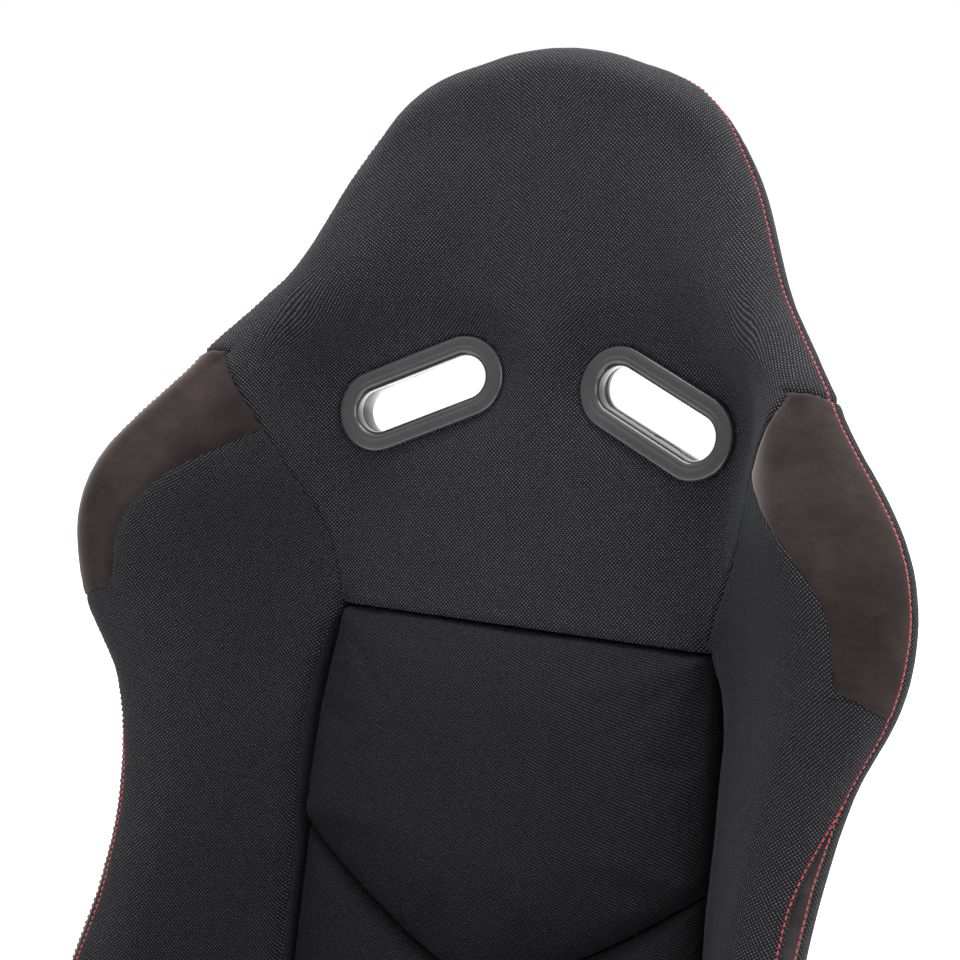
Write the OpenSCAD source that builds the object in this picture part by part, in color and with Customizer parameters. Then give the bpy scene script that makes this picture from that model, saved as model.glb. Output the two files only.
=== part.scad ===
// Reclining racing seat: a fixed pair of floor rails, a seat base that slides on them,
// and a backrest with harness slots that reclines on round lever-operated recliners.
// The seat faces -Y, +X is the occupant's left, and the floor is z = 0.

/* [Backrest] */
// Lean of the backrest from the vertical, degrees
back_lean = 14; // [8:1:20]
// Radius of the padded roll that runs round the edge of the backrest
edge_r = 20; // [16:1:22]
// Height of the bolsters' lower ends above the recline axis
bolster_start_v = 15; // [12:1:30]
// Height of the line where the upper pad meets the back cushion
cushion_top_v = 354; // [350:1:358]
// Half width of the back cushion's groove
groove_half_w = 149; // [146:1:150]

/* [Harness slots] */
// Distance of each slot's centre from the middle plane
slot_u = 86; // [82:1:92]
// Height of the slots' centres above the recline axis
slot_v = 500; // [490:1:510]
// Slope of each slot, outer end down, degrees
slot_slope = 25; // [20:1:30]
// Distance between the centres of a slot's round ends
slot_centres = 66; // [60:1:70]
// Inner radius of a slot's round ends
slot_r = 14.5; // [12:0.5:15]
// Outer radius of the bezel flange's round ends
flange_r = 28; // [24:0.5:30]

/* [Recliner] */
// Distance of the recline axis behind the middle of the rails
pivot_y = 190; // [185:1:200]
// Height of the recline axis above the floor
pivot_z = 150; // [148:1:160]
// Radius of the round recliner mechanism
recliner_r = 36; // [32:1:38]
// Radius of the release rod through both recliners
rod_r = 4; // [3:0.5:4.5]

/* [Seat base] */
// Half width of the seat cushion between the thigh bolsters
cushion_half_w = 151; // [147:1:151]
// Distance from the middle of the rails back to the rear end of the thigh bolsters
thigh_end_y = 16; // [8:1:18]

/* [Rails] */
// Distance of each rail's middle from the middle plane
rail_x = 190; // [186:1:194]
// Length of the lower rails
lower_rail_len = 390; // [380:1:400]
// Length of the upper rails
upper_rail_len = 370; // [350:1:380]
// Radius of the floor bolt holes
foot_hole_r = 4.5; // [4:0.25:5]
// Distance between the front and rear floor bolts
foot_spacing_y = 434; // [430:1:440]

/* [Hidden] */
$fn = 48;
gap = 0.4;            // seam gap between neighbouring foam pieces
sheet_t = 2.5;        // gauge of the pressed rails

fabric_c = [0.06, 0.06, 0.07];
suede_c = [0.13, 0.11, 0.10];
plastic_c = [0.16, 0.16, 0.16];
steel_c = [0.08, 0.08, 0.085];
zinc_c = [0.62, 0.62, 0.60];
vinyl_c = [0.05, 0.05, 0.05];

// ---------- backrest outline ----------
// Centre line of the padded edge roll, from the lower end up to the top of the head:
// half width u, height v above the recline axis, distance w in front of it.
EDGE = [
    [243, -20, 130], [237, 62, 129], [222, 146, 119], [223, 222, 107], [238, 291, 109],
    [265, 358, 126], [260, 423, 131], [211, 491, 108], [160, 562, 76], [123, 643, 60],
    [88, 686, 60], [43, 703, 60], [0, 710, 58]
];
TOP = len(EDGE) - 1;
// Height v and half width u of the seam between the middle panels and the bolsters
SEAM = [[-20, 149], [204, 149], [300, 143], [354, 136], [401, 146], [433, 161], [464, 172], [491, 185], [516, 205]];
// Height v and distance w of the middle of the front face
FACE = [[-20, 36], [130, 38], [260, 44], [354, 40], [440, 43], [490, 45], [540, 53], [600, 66], [650, 74], [730, 80]];
// Height v and half width u where the front face starts to rise towards the edge
BASE = [[-20, 149], [204, 149], [300, 143], [354, 136], [424, 132], [464, 134], [510, 138], [545, 95], [580, 60], [640, 30], [700, 0]];
// Height v and half width u where each bolster's wall reaches its top
CREST = [[-20, 214], [204, 208], [290, 222], [352, 246], [403, 235], [424, 215], [464, 202], [516, 190], [730, 190]];
seam_end_v = 510;
taper = 0.38;        // how far the side panels turn in for each millimetre they go back

function mirror_edge(i) = i < 0 ? 2 * EDGE[0] - EDGE[1]
    : i <= TOP ? EDGE[i]
    : [-EDGE[2 * TOP - i][0], EDGE[2 * TOP - i][1], EDGE[2 * TOP - i][2]];
function cubic(a, b, c, d, t) =
    0.5 * (2 * b + (c - a) * t + (2 * a - 5 * b + 4 * c - d) * t * t + (3 * b - a - 3 * c + d) * t * t * t);
function edge(s) = let (i = floor(s))
    cubic(mirror_edge(i - 1), mirror_edge(i), mirror_edge(i + 1), mirror_edge(i + 2), s - i);
// Place s along the edge where it has height v, by bisection
function edge_at(v, lo = 0, hi = TOP, n = 18) = n == 0 ? (lo + hi) / 2
    : edge((lo + hi) / 2)[1] < v ? edge_at(v, (lo + hi) / 2, hi, n - 1)
    : edge_at(v, lo, (lo + hi) / 2, n - 1);
// Outward direction of the edge in the u-v plane
function edge_out(s) = let (d = edge(s + 0.02) - edge(s - 0.02), l = norm([d[0], d[1]])) [d[1] / l, -d[0] / l];
function ease(t) = let (x = min(1, max(0, t))) x * x * (3 - 2 * x);
// Distance w of the pads' back at height v
function rear(v) = -28 + 27 * ease((v - 250) / 185);
// Front face at height v and half width u, for an edge roll at [k, v, w]
function front(u, v, k, w) = let (b = lookup(v, FACE), c = min(lookup(v, BASE), k - 30),
    p = min(lookup(v, CREST), k)) b + (w + edge_r - b) * ease((u - c) / (p - c));
// How far the side panel turns in between the roll and the back
function side_reach(v, w, k) = (w - rear(v)) * taper + 4;

// ---------- solids from points ----------
function quads(rows, cols, closed) = [
    for (i = [0 : rows - 2]) for (j = [0 : (closed ? cols - 1 : cols - 2)])
        let (a = i * cols + j, b = i * cols + (j + 1) % cols, c = a + cols, d = b + cols)
        each [[a, b, d], [a, d, c]]
];
function join(lists) = [for (l = lists) each l];
// A loft of equal closed rings, with flat ends
module loft(rings) {
    n = len(rings[0]);
    last = (len(rings) - 1) * n;
    polyhedron(
        points = join(rings),
        faces = concat(quads(len(rings), n, true),
            [[for (j = [n - 1 : -1 : 0]) j]], [[for (j = [0 : n - 1]) last + j]]));
}
// The same, with each end a fan of triangles from the rings' last point
module loft_fan(rings) {
    n = len(rings[0]);
    last = (len(rings) - 1) * n;
    polyhedron(
        points = join(rings),
        faces = concat(quads(len(rings), n, true),
            [for (j = [0 : n - 3]) [n - 1, j + 1, j]], [for (j = [0 : n - 3]) [last + n - 1, last + j, last + j + 1]]));
}
// A loft of rings that are mirror-symmetric about x = 0, point j across from point n-1-j.
// Each end is closed by a fan over its straight front edge of f + 1 points a side, then strips.
function end_faces(n, f) = let (front_edge = concat([for (j = [n - 2 - f : n - 1]) j], [for (j = [0 : f]) j]))
    concat([for (k = [0 : len(front_edge) - 2]) [f + 1, front_edge[k], front_edge[k + 1]]],
        [for (j = [f + 1 : n / 2 - 2]) each [[j, j + 1, n - 2 - j], [j, n - 2 - j, n - 1 - j]]]);
module loft_to_edge(rings, f) {
    n = len(rings[0]);
    last = (len(rings) - 1) * n;
    polyhedron(
        points = join(rings),
        faces = concat(quads(len(rings), n, true),
            [for (t = end_faces(n, f)) [t[0], t[2], t[1]]],
            [for (t = end_faces(n, f)) [t[0] + last, t[1] + last, t[2] + last]]));
}
// A slab between two grids of the same size: rows go up, columns go left to right,
// and the first grid is the face nearest the viewer
module slab(near, far) {
    r = len(near);
    c = len(near[0]);
    n = r * c;
    rim = concat(
        [for (j = [0 : c - 2]) j], [for (i = [0 : r - 2]) i * c + c - 1],
        [for (j = [c - 1 : -1 : 1]) (r - 1) * c + j], [for (i = [r - 1 : -1 : 1]) i * c]);
    m = len(rim);
    polyhedron(
        points = concat(join(near), join(far)),
        faces = concat([for (f = quads(r, c, false)) [f[0], f[2], f[1]]],
            [for (f = quads(r, c, false)) [f[0] + n, f[1] + n, f[2] + n]],
            [for (k = [0 : m - 1]) let (a = rim[k], b = rim[(k + 1) % m])
                each [[a, b, a + n], [b, b + n, a + n]]]));
}
// Rings of a round bar or tube along a path, with ref a direction never along it
function ring_at(p, i, r, sides, ref) = let (
    last = len(p) - 1,
    t = (p[min(i + 1, last)] - p[max(i - 1, 0)]),
    a = cross(t, ref) / norm(cross(t, ref)), b = cross(a, t) / norm(cross(a, t)))
    [for (k = [0 : sides - 1]) p[i] + r * (cos(k * 360 / sides) * a + sin(k * 360 / sides) * b)];
module bar_along(path, r, sides = 10, ref = [0, 1, 0]) {
    loft([for (i = [0 : len(path) - 1]) ring_at(path, i, r, sides, ref)]);
}
// A tube with wall t: its outer and inner skins joined by rings at the ends
module tube_along(path, r, t, sides = 12, ref = [0, 1, 0]) {
    n = len(path);
    outer = [for (i = [0 : n - 1]) ring_at(path, i, r, sides, ref)];
    inner = [for (i = [0 : n - 1]) ring_at(path, i, r - t, sides, ref)];
    m = n * sides;
    e = (n - 1) * sides;
    polyhedron(
        points = concat(join(outer), join(inner)),
        faces = concat(quads(n, sides, true),
            [for (f = quads(n, sides, true)) [f[0] + m, f[2] + m, f[1] + m]],
            [for (k = [0 : sides - 1]) let (q = (k + 1) % sides)
                each [[q, k, m + k], [q, m + k, m + q],
                    [e + k, e + q, e + m + q], [e + k, e + m + q, e + m + k]]]));
}
module mirrored(side) {
    if (side > 0) children();
    else mirror([1, 0, 0]) children();
}
module along_x(x0, x1, r) { translate([x0, 0, 0]) rotate([0, 90, 0]) cylinder(r = r, h = x1 - x0); }

// ---------- placing ----------
// Backrest frame: x is u, -y is w (forward), z is v (up the backrest)
module in_back() { translate([0, pivot_y, pivot_z]) rotate([-back_lean, 0, 0]) children(); }
module at_pivot() { translate([0, pivot_y, pivot_z]) children(); }
// Frames of a harness slot: x along the slot, y into the backrest. The front one is
// square to the sloping front of the pad, the rear one to the flat back.
module in_slot(side) {
    translate([side * slot_u, -44, slot_v]) rotate([0, 0, -side * 7.6]) rotate([0, side * slot_slope, 0]) children();
}
module in_rear_slot(side) {
    translate([side * (slot_u + 3.4), 0, slot_v]) rotate([0, side * slot_slope, 0]) children();
}
module stadium(r) {
    square([slot_centres, 2 * r], center = true);
    for (s = [-1, 1]) translate([s * slot_centres / 2, 0]) circle(r = r);
}
// A stadium ring along the slot frame's y, from y0 to y1
module slot_ring(r_out, r_in, y0, y1) {
    translate([0, y1, 0]) rotate([90, 0, 0]) linear_extrude(height = y1 - y0)
        difference() { stadium(r_out); stadium(r_in); }
}
module slot_cut(r, y0, y1) {
    translate([0, y1, 0]) rotate([90, 0, 0]) linear_extrude(height = y1 - y0) stadium(r);
}

// Recess in the back of the backrest behind the slots, o larger all round
recess_w = 27;
module recess_face(shape, w, o) translate([0, -w, 0]) rotate([90, 0, 0]) linear_extrude(height = 0.1)
    offset(delta = o) polygon(concat(shape, [for (i = [len(shape) - 1 : -1 : 0]) [-shape[i][0], shape[i][1]]]));
module rear_recess(o) hull() {
    recess_face([[141, 453], [151, 496], [108, 549]], recess_w - 0.1 + o, o);
    recess_face([[152, 437], [168, 506], [124, 571]], -12, o);
}

// ---------- backrest padding ----------
front_steps = 7;
// Half section where the pad has the edge roll: over the roll, then in to the back edge
function roll_pts(s) = let (e = edge(s), o = edge_out(s), reach = side_reach(e[1], e[2], e[0]))
    concat(
        [for (a = [60, 30, 0]) [e[0] + o[0] * edge_r * cos(a), -(e[2] + edge_r * sin(a)), e[1] + o[1] * edge_r * cos(a)]],
        [for (f = [0.5, 1]) let (d = edge_r - reach * f)
            [e[0] + o[0] * d, -(e[2] + (rear(e[1]) - e[2]) * f), e[1] + o[1] * d]]);
// The same number of points down a flat cut at half width u
function cut_pts(s, u) = let (e = edge(s), top = front(u, e[1], e[0], e[2]), bottom = rear(e[1]))
    [for (f = [0.2, 0.4, 0.6, 0.8, 1]) [u, -(top + (bottom - top) * f), e[1]]];
// Rows run level at the middle and meet the edge at its own height: c is how far apart those are
function upper_half(s, c) = let (e = edge(s), open = e[1] > seam_end_v,
    u1 = open ? e[0] : lookup(e[1], SEAM) - gap, last = open ? roll_pts(s) : cut_pts(s, u1))
    concat(
        [for (j = [0 : front_steps]) let (t = (j + 0.5) / (front_steps + 0.5), u = u1 * t)
            [u, -front(u, e[1], e[0], e[2]), e[1] + c * (1 - ease((t - 0.75) / 0.25))]],
        last,
        [[0.75 * u1, 0.8 - rear(e[1]), last[len(last) - 1][2] + c]]);
function upper_ring(r) = let (h = upper_half(r[0], r[1]), n = len(h))
    concat([for (p = h) [-p[0], p[1], p[2]]], [for (j = [n - 1 : -1 : 0]) h[j]]);
// Rows as [place along the edge, rise at the middle]
upper_rows = concat(
    [for (i = [0 : 7]) [edge_at(cushion_top_v + 1 + (seam_end_v - 1.4 - cushion_top_v) * i / 7), -12 * i / 7]],
    [for (i = [0 : 15]) let (s0 = edge_at(seam_end_v + 0.3)) [s0 + (TOP - 0.06 - s0) * i / 15, max(0, 12 - 4 * i)]]);

module upper_foam() difference() {
    loft_to_edge([for (r = upper_rows) upper_ring(r)], front_steps);
    for (side = [-1, 1]) {
        in_slot(side) { slot_cut(flange_r + 0.5, -80, -0.9); slot_cut(slot_r + 3.4, -5, 30); }
    }
    rear_recess(3.4);
}
// The upper pad is moulded in three pieces, parted above the slots and down the middle
foam_part_v = 552;
module head_foam() color(fabric_c) in_back() intersection() {
    upper_foam();
    translate([-300, -200, foam_part_v + gap / 2]) cube([600, 300, 300]);
}
module shoulder_foam(side) color(fabric_c) in_back() intersection() {
    upper_foam();
    mirrored(side) translate([gap / 2, -200, 250]) cube([300, 300, foam_part_v - gap / 2 - 250]);
}

// One bolster ring at height v, flat across v
function bolster_ring(v) = let (s = edge_at(v), e = edge(s), q = edge_r / max(0.6, edge_out(s)[0]),
    c = lookup(v, SEAM) + gap, back = rear(v),
    reach = side_reach(v, e[2], e[0]), u_out = e[0] + q)
    concat(
        [for (j = [0 : 6]) let (u = c + (max(e[0], c + 4) - c) * j / 6) [u, -front(u, v, e[0], e[2]), v]],
        [for (a = [55, 25, 0]) [max(e[0], c + 4) + q * cos(a), -(e[2] + edge_r * sin(a)), v]],
        [for (f = [0.33, 0.66, 1]) [max(u_out - reach * f, c + 8), -(e[2] + (back - e[2]) * f), v]],
        [[c, -back, v]]);
bolster_rows = [for (i = [0 : 19]) bolster_start_v + (seam_end_v - 1.2 - bolster_start_v) * i / 19];
module back_bolster(side) color(fabric_c) in_back() mirrored(side)
    loft_fan([for (i = [19 : -1 : 0]) bolster_ring(bolster_rows[i])]);

// Lower edge of the back cushion: a shallow V with a rounded point
function vee(u) = 118 + 88 * pow(min(1, abs(u) / groove_half_w), 1.4);
function pad_grid(u_of, v_of, w_of, n, m) =
    [for (i = [0 : m]) [for (j = [0 : n]) let (a = 2 * j / n - 1, f = i / m, u = u_of(a, f), v = v_of(u, f))
        [u, -w_of(a, f), v]]];
function edge_fall(a, f) = pow(abs(a), 8) + pow(abs(2 * f - 1), 8);
module back_cushion() color(fabric_c) in_back() slab(
    pad_grid(function(a, f) a * (groove_half_w - 3 + (136 - groove_half_w) * f),
        function(u, f) vee(u) + 2 + (cushion_top_v - 2 - vee(u) - 2) * f,
        function(a, f) 50 - 16 * min(1, edge_fall(a, f)), 16, 12),
    pad_grid(function(a, f) a * (groove_half_w - 3 + (136 - groove_half_w) * f),
        function(u, f) vee(u) + 2 + (cushion_top_v - 2 - vee(u) - 2) * f,
        function(a, f) 8, 16, 12));
module lumbar_pad() color(fabric_c) in_back() slab(
    pad_grid(function(a, f) a * (groove_half_w - 2),
        function(u, f) -20 + (vee(u) - 2 + 20) * f,
        function(a, f) 40 - 14 * min(1, edge_fall(a, f)), 16, 8),
    pad_grid(function(a, f) a * (groove_half_w - 2),
        function(u, f) -20 + (vee(u) - 2 + 20) * f,
        function(a, f) 8, 16, 8));

// Thin rear cover, bowed out behind the pads
cover_t = 2.4;
function cover_row(s, back) = let (e = edge(s), o = edge_out(s),
    d = edge_r - side_reach(e[1], e[2], e[0]), v = e[1] + o[1] * d, w = rear(v))
    [for (j = [-8 : 8]) let (a = j / 8, u = (e[0] + o[0] * d) * a)
        [u, -(w - 1.4 - back - 9 * (1 - a * a) * (1 - ease((v - 340) / 80))), v]];
cover_rows = concat([for (i = [0 : 22]) i * (TOP - 0.06) / 22]);
module rear_cover() color(vinyl_c) in_back() difference() {
    slab([for (s = cover_rows) cover_row(s, 0)], [for (s = cover_rows) cover_row(s, cover_t)]);
    rear_recess(cover_t + gap);
}
// Moulded tray set into the cover, with the rear openings of the harness slots
module slot_tray() color(vinyl_c) in_back() difference() {
    intersection() {
        rear_recess(cover_t);
        translate([-250, -60, 400]) cube([500, 64.8, 220]);
    }
    rear_recess(0);
    for (side = [-1, 1]) in_rear_slot(side) slot_cut(slot_r + 3.6, -60, 0);
}

// ---------- backrest frame ----------
hoop_w = 22;
HOOP = [
    [190, 34], [187, 80], [184, 150], [186, 220], [192, 300], [194, 370], [192, 430], [178, 490],
    [150, 540], [122, 585], [102, 630], [78, 658], [40, 672], [0, 675]
];
function hoop_path() = concat(
    [for (p = HOOP) [p[0], -hoop_w, p[1]]],
    [for (i = [len(HOOP) - 2 : -1 : 0]) [-HOOP[i][0], -hoop_w, HOOP[i][1]]]);
module back_frame() color(steel_c) in_back() {
    tube_along(hoop_path(), 11, 1.8);
    // two cross tubes behind the cushions and the stubs to the side brackets
    for (c = [[112, 178, 2], [400, 186, -18]])
        tube_along([for (k = [-1, -0.9, 0.9, 1]) [k * c[1], abs(k) > 0.95 ? -18 : c[2], c[0]]], 8, 1.5, 12, [0, 0, 1]);
    for (side = [-1, 1]) mirrored(side) for (v = [52, 98])
        translate([0, -hoop_w, v]) difference() {
            along_x(192, 229, 9);
            along_x(191, 230, 5);
        }
}
module back_bracket(side) color(steel_c) in_back() mirrored(side) difference() {
    union() {
        along_x(229, 233, 40);
        translate([229, 0, 0]) rotate([90, 0, 90]) linear_extrude(height = 4)
            polygon([[-37, 6], [-37, 106], [-30, 114], [4, 114], [12, 104], [30, 20]]);
    }
    along_x(220, 240, rod_r + 1.2);
    for (v = [52, 98]) translate([0, -hoop_w, v]) along_x(220, 240, 5);
}
boss_r = 12;
module recliner_gear(side) color(zinc_c) at_pivot() mirrored(side) difference() {
    along_x(233, 236.2, recliner_r);
    along_x(232, 237, boss_r + 0.06);
}
module recliner_housing(side) color(zinc_c) at_pivot() mirrored(side) difference() {
    union() {
        along_x(236.6, 240, recliner_r + 2);
        along_x(233.4, 236.6, boss_r);
    }
    along_x(233, 241, rod_r + 0.06);
}
// Zigzag springs across the backrest, hooked on the hoop
function zigzag(x, y0, y1, turns, swing) = concat([[x, y0, 0]],
    [for (i = [0 : turns - 1]) each [
        [x - swing, y0 + (y1 - y0) * (i + 0.3) / turns, 0], [x - swing, y0 + (y1 - y0) * (i + 0.5) / turns, 0],
        [x + swing, y0 + (y1 - y0) * (i + 0.8) / turns, 0], [x + swing, y0 + (y1 - y0) * (i + 1) / turns, 0]]],
    [[x, y1 + 4, 0]]);
module back_springs() color(zinc_c) in_back()
    for (v = [50, 170, 230, 290])
        let (z = zigzag(0, -162, 158, 9, 11))
            bar_along(concat([[-175, -16, v]], [for (p = z) [p[1], 0, v + p[0]]], [[175, -16, v]]), 1.7, 6, [0, 1, 0]);
module back_bolts() color(zinc_c) in_back()
    for (side = [-1, 1]) mirrored(side) for (v = [52, 98]) translate([0, -hoop_w, v]) {
        along_x(233.1, 236.4, 7);
        along_x(219, 233.2, 4.6);
    }

// ---------- harness bezels ----------
module front_bezel(side) color(plastic_c) in_back() in_slot(side) {
    slot_ring(flange_r, slot_r, -4.5, -1);
    slot_ring(slot_r + 2.2, slot_r, -1, 7.6);
}
module rear_bezel(side) color(plastic_c) in_back() in_rear_slot(side) {
    slot_ring(slot_r + 3.2, slot_r + 0.3, -recess_w - 2.6, -recess_w + 0.1);
    slot_ring(flange_r - 3, slot_r + 0.3, -recess_w + 0.1, -recess_w + 2.6);
}

// ---------- seat base padding ----------
// Height of the seat surface along y
SEAT_TOP = [[-300, 150], [-286, 184], [-262, 203], [-225, 211], [-150, 206], [-60, 190], [40, 172], [100, 166], [138, 160]];
THIGH_TOP = [[-296, 150], [-280, 190], [-250, 224], [-200, 252], [-140, 266], [-80, 262], [-20, 240], [16, 216]];
seat_bottom_z = 95.2;
function cushion_row(y) = let (z = lookup(y, SEAT_TOP))
    [for (j = [-8 : 8]) let (a = j / 8) [a * cushion_half_w, y, z - 9 * pow(abs(a), 6) - 3 * (1 - a * a)]];
cushion_ys = [-300, -294, -286, -274, -262, -244, -225, -190, -150, -105, -60, -10, 40, 70, 100, 120, 138];
module seat_cushion() color(fabric_c) slab(
    [for (y = cushion_ys) cushion_row(y)],
    [for (y = cushion_ys) [for (j = [-8 : 8]) [j / 8 * cushion_half_w, y, y < -262 ? 108 : seat_bottom_z]]]);
thigh_ys = [-296, -288, -280, -265, -250, -225, -200, -170, -140, -110, -80, -50, -20, 0, thigh_end_y];
function thigh_ring(y) = let (z = lookup(y, THIGH_TOP), seat = min(z - 6, lookup(y, SEAT_TOP) - 10), h = z - seat,
    pull = 14 * ease((-230 - y) / 66))
    [for (p = concat(
        [[152, seat_bottom_z + (y < -262 ? 14 : 0)], [152, seat], [172, seat + 0.42 * h], [190, seat + 0.82 * h]],
        [for (a = [115, 90, 60, 25, 0]) [222 - pull + 22 * cos(a), z - 22 + 22 * sin(a)]],
        [[242 - pull, z - 50], [238 - pull, 120], [236 - pull, seat_bottom_z + (y < -262 ? 14 : 0)]]))
        [p[0], y, max(p[1], seat_bottom_z)]];
module thigh_bolster(side) color(fabric_c) mirrored(side)
    loft([for (i = [len(thigh_ys) - 1 : -1 : 0]) thigh_ring(thigh_ys[i])]);

// ---------- seat base frame ----------
pan_y0 = -258;
pan_y1 = 214;
pan_z = 47;
module pan_side(side) color(steel_c) mirrored(side) difference() {
    union() {
        translate([168, pan_y0, pan_z]) cube([68, pan_y1 - pan_y0, sheet_t]);
        translate([236 - sheet_t, pan_y0, pan_z]) cube([sheet_t, pan_y1 - pan_y0, 44]);
        translate([214, pan_y0, pan_z + 44 - sheet_t]) cube([22, pan_y1 - pan_y0, sheet_t]);
    }
    for (y = [-150, 150]) translate([rail_x, y, pan_z - 1]) cylinder(r = 4.2, h = 6);
    for (y = [60, 130]) translate([0, y, 70]) along_x(230, 240, 4.2);
    for (y = [-232, 176]) translate([0, y, 80]) along_x(200, 233.5, 11.1);
}
module cross_tube(y, z, end) color(steel_c) translate([0, y, z]) difference() {
    along_x(-end, end, 11);
    along_x(-end - 1, end + 1, 9.4);
}
module seat_springs() color(zinc_c)
    for (x = [-100, -50, 0, 50, 100]) translate([0, 0, 93.1])
        bar_along(zigzag(x, -242, 182, 12, 14), 1.9, 6, [0, 0, 1]);
module base_bracket(side) color(steel_c) mirrored(side) difference() {
    union() {
        at_pivot() along_x(240, 244, 42);
        translate([240, 0, 0]) rotate([90, 0, 90]) linear_extrude(height = 4)
            polygon([[30, 52], [pan_y1, 52], [pivot_y + 40, pivot_z - 10], [pivot_y - 40, pivot_z - 10], [120, 104], [30, 88]]);
        // pin that holds the outer end of the return spring
        if (side < 0) at_pivot() translate([0, -37, 0]) along_x(243.9, 249.5, 2.2);
    }
    at_pivot() along_x(230, 250, rod_r + 1.2);
    for (y = [60, 130]) translate([0, y, 70]) along_x(230, 250, 4.2);
}
module base_bolts() color(zinc_c) for (side = [-1, 1]) mirrored(side) for (y = [60, 130])
    translate([0, y, 70]) {
        along_x(224, 244.1, 4);
        difference() {
            along_x(244.1, 249, 7);
            translate([247, 0, 0]) along_x(0, 3, 3);
        }
        translate([227.4, 0, 0]) rotate([0, 90, 0]) difference() {
            cylinder(r = 7.5, h = 6, $fn = 6);
            translate([0, 0, -1]) cylinder(r = 4.1, h = 8);
        }
        along_x(236.1, 239.9, 8);
    }
module rail_bolts() color(zinc_c) for (side = [-1, 1]) mirrored(side) for (y = [-150, 150])
    translate([rail_x, y, 0]) {
        translate([0, 0, 37]) cylinder(r = 4, h = 16);
        translate([0, 0, pan_z + sheet_t + 0.1]) cylinder(r = 7, h = 5);
    }
// Plastic shield over the base bracket: a thin wall with a rim turned in
SHIELD = [[-246, 56], [214, 56], [233, 74], [236, 140], [148, 140], [118, 118], [-180, 100], [-246, 84]];
SHIELD_IN = [[-243, 59], [212.8, 59], [230, 75], [233, 137], [149.2, 137], [119.5, 115], [-180, 97], [-243, 81.5]];
module shield_shape(outline, r, x0, x1) {
    translate([x0, 0, 0]) rotate([90, 0, 90]) linear_extrude(height = x1 - x0) polygon(outline);
    at_pivot() along_x(x0, x1, r);
}
module side_shield(side) color(plastic_c) mirrored(side) difference() {
    shield_shape(SHIELD, 48, 250.5, 260.5);
    shield_shape(SHIELD_IN, 45, 249, 257.5);
    if (side > 0) at_pivot() along_x(240, 270, 12);
}
// Flat spiral spring that brings the backrest forward, wound on the right-hand side
function spiral(r0, r1, turns, n) =
    [for (i = [0 : n]) let (t = i / n, a = t * turns * 360) [(r0 + (r1 - r0) * t) * cos(a), (r0 + (r1 - r0) * t) * sin(a)]];
module return_spring() color(zinc_c) at_pivot() translate([-248.5, 0, 0]) rotate([90, 0, 90])
    linear_extrude(height = 4)
        let (a = spiral(10, 33, 3.5, 84), b = spiral(11.6, 34.6, 3.5, 84))
        polygon(concat(a, [for (i = [84 : -1 : 0]) b[i]]));

// ---------- levers and rod ----------
lever_x = 270;
module recline_lever() color(plastic_c) at_pivot() {
    difference() {
        along_x(261.5, 279, 16);
        along_x(260, 275, rod_r + 0.05);
    }
    // flat arm that runs forward and a little up from the hub
    translate([lever_x, 0, 0]) rotate([90, 0, 90]) linear_extrude(height = 7)
        polygon([[-6, 14.6], [-72, 20], [-72, 4], [-6, -14.6]]);
}
module lever_grip() color(plastic_c) at_pivot() translate([lever_x + 3.5, -72.1, 12]) rotate([90, 0, 0]) {
    cylinder(r1 = 8, r2 = 9.5, h = 56);
    translate([0, 0, 56]) sphere(r = 9.5);
}
module release_rod() color(zinc_c) at_pivot() along_x(-256, 274.9, rod_r);
module recliner_cams() color(zinc_c) at_pivot() for (side = [-1, 1]) mirrored(side) difference() {
    union() {
        along_x(244.3, 247, 9);
    }
    along_x(244, 248, rod_r + 0.05);
}

// ---------- rails ----------
rail_z = 14;
module lower_rail(side) color(steel_c) mirrored(side) difference() {
    translate([rail_x, lower_rail_len / 2, rail_z]) rotate([90, 0, 0]) linear_extrude(height = lower_rail_len)
        union() {
            translate([-23, 0]) square([46, sheet_t]);
            translate([-23, 0]) square([sheet_t, 20]);
            translate([23 - sheet_t, 0]) square([sheet_t, 20]);
            translate([-23, 20 - sheet_t]) square([11, sheet_t]);
            translate([12, 20 - sheet_t]) square([11, sheet_t]);
        }
    // latch slots through the inner lip
    for (i = [0 : 18]) translate([rail_x - 20.2, -178 + i * 10, rail_z + 16]) cube([6, 5, 5]);
}
module rail_feet() color(steel_c) for (sx = [-1, 1]) for (sy = [-1, 1]) mirrored(sx)
    translate([rail_x, 0, 0]) difference() {
        union() {
            translate([-22, sy > 0 ? 176 : -236, 0]) cube([44, 60, 4]);
            translate([-22, sy > 0 ? 176 : -194, 4]) cube([44, 18, rail_z - 4]);
        }
        translate([0, sy * foot_spacing_y / 2, -1]) cylinder(r = foot_hole_r, h = 6);
    }
module upper_rail(side) color(steel_c) mirrored(side) difference() {
    translate([rail_x, upper_rail_len / 2, rail_z]) rotate([90, 0, 0]) linear_extrude(height = upper_rail_len)
        union() {
            translate([-19, 6]) square([38, sheet_t]);
            translate([-19, 6]) square([sheet_t, 10.5]);
            translate([19 - sheet_t, 6]) square([sheet_t, 10.5]);
            translate([-10, 6]) square([sheet_t, pan_z - rail_z - 6]);
            translate([10 - sheet_t, 6]) square([sheet_t, pan_z - rail_z - 6]);
            translate([-10, pan_z - rail_z - sheet_t]) square([20, sheet_t]);
        }
    for (y = [-150, 150]) translate([rail_x, y, 40]) cylinder(r = 4.2, h = 10);
}
module rail_glides() color(plastic_c) for (side = [-1, 1]) mirrored(side)
    for (y = [-160, -55, 55, 160]) translate([rail_x - 15, y - 14, rail_z + sheet_t + 0.4]) cube([30, 28, 3]);

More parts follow.
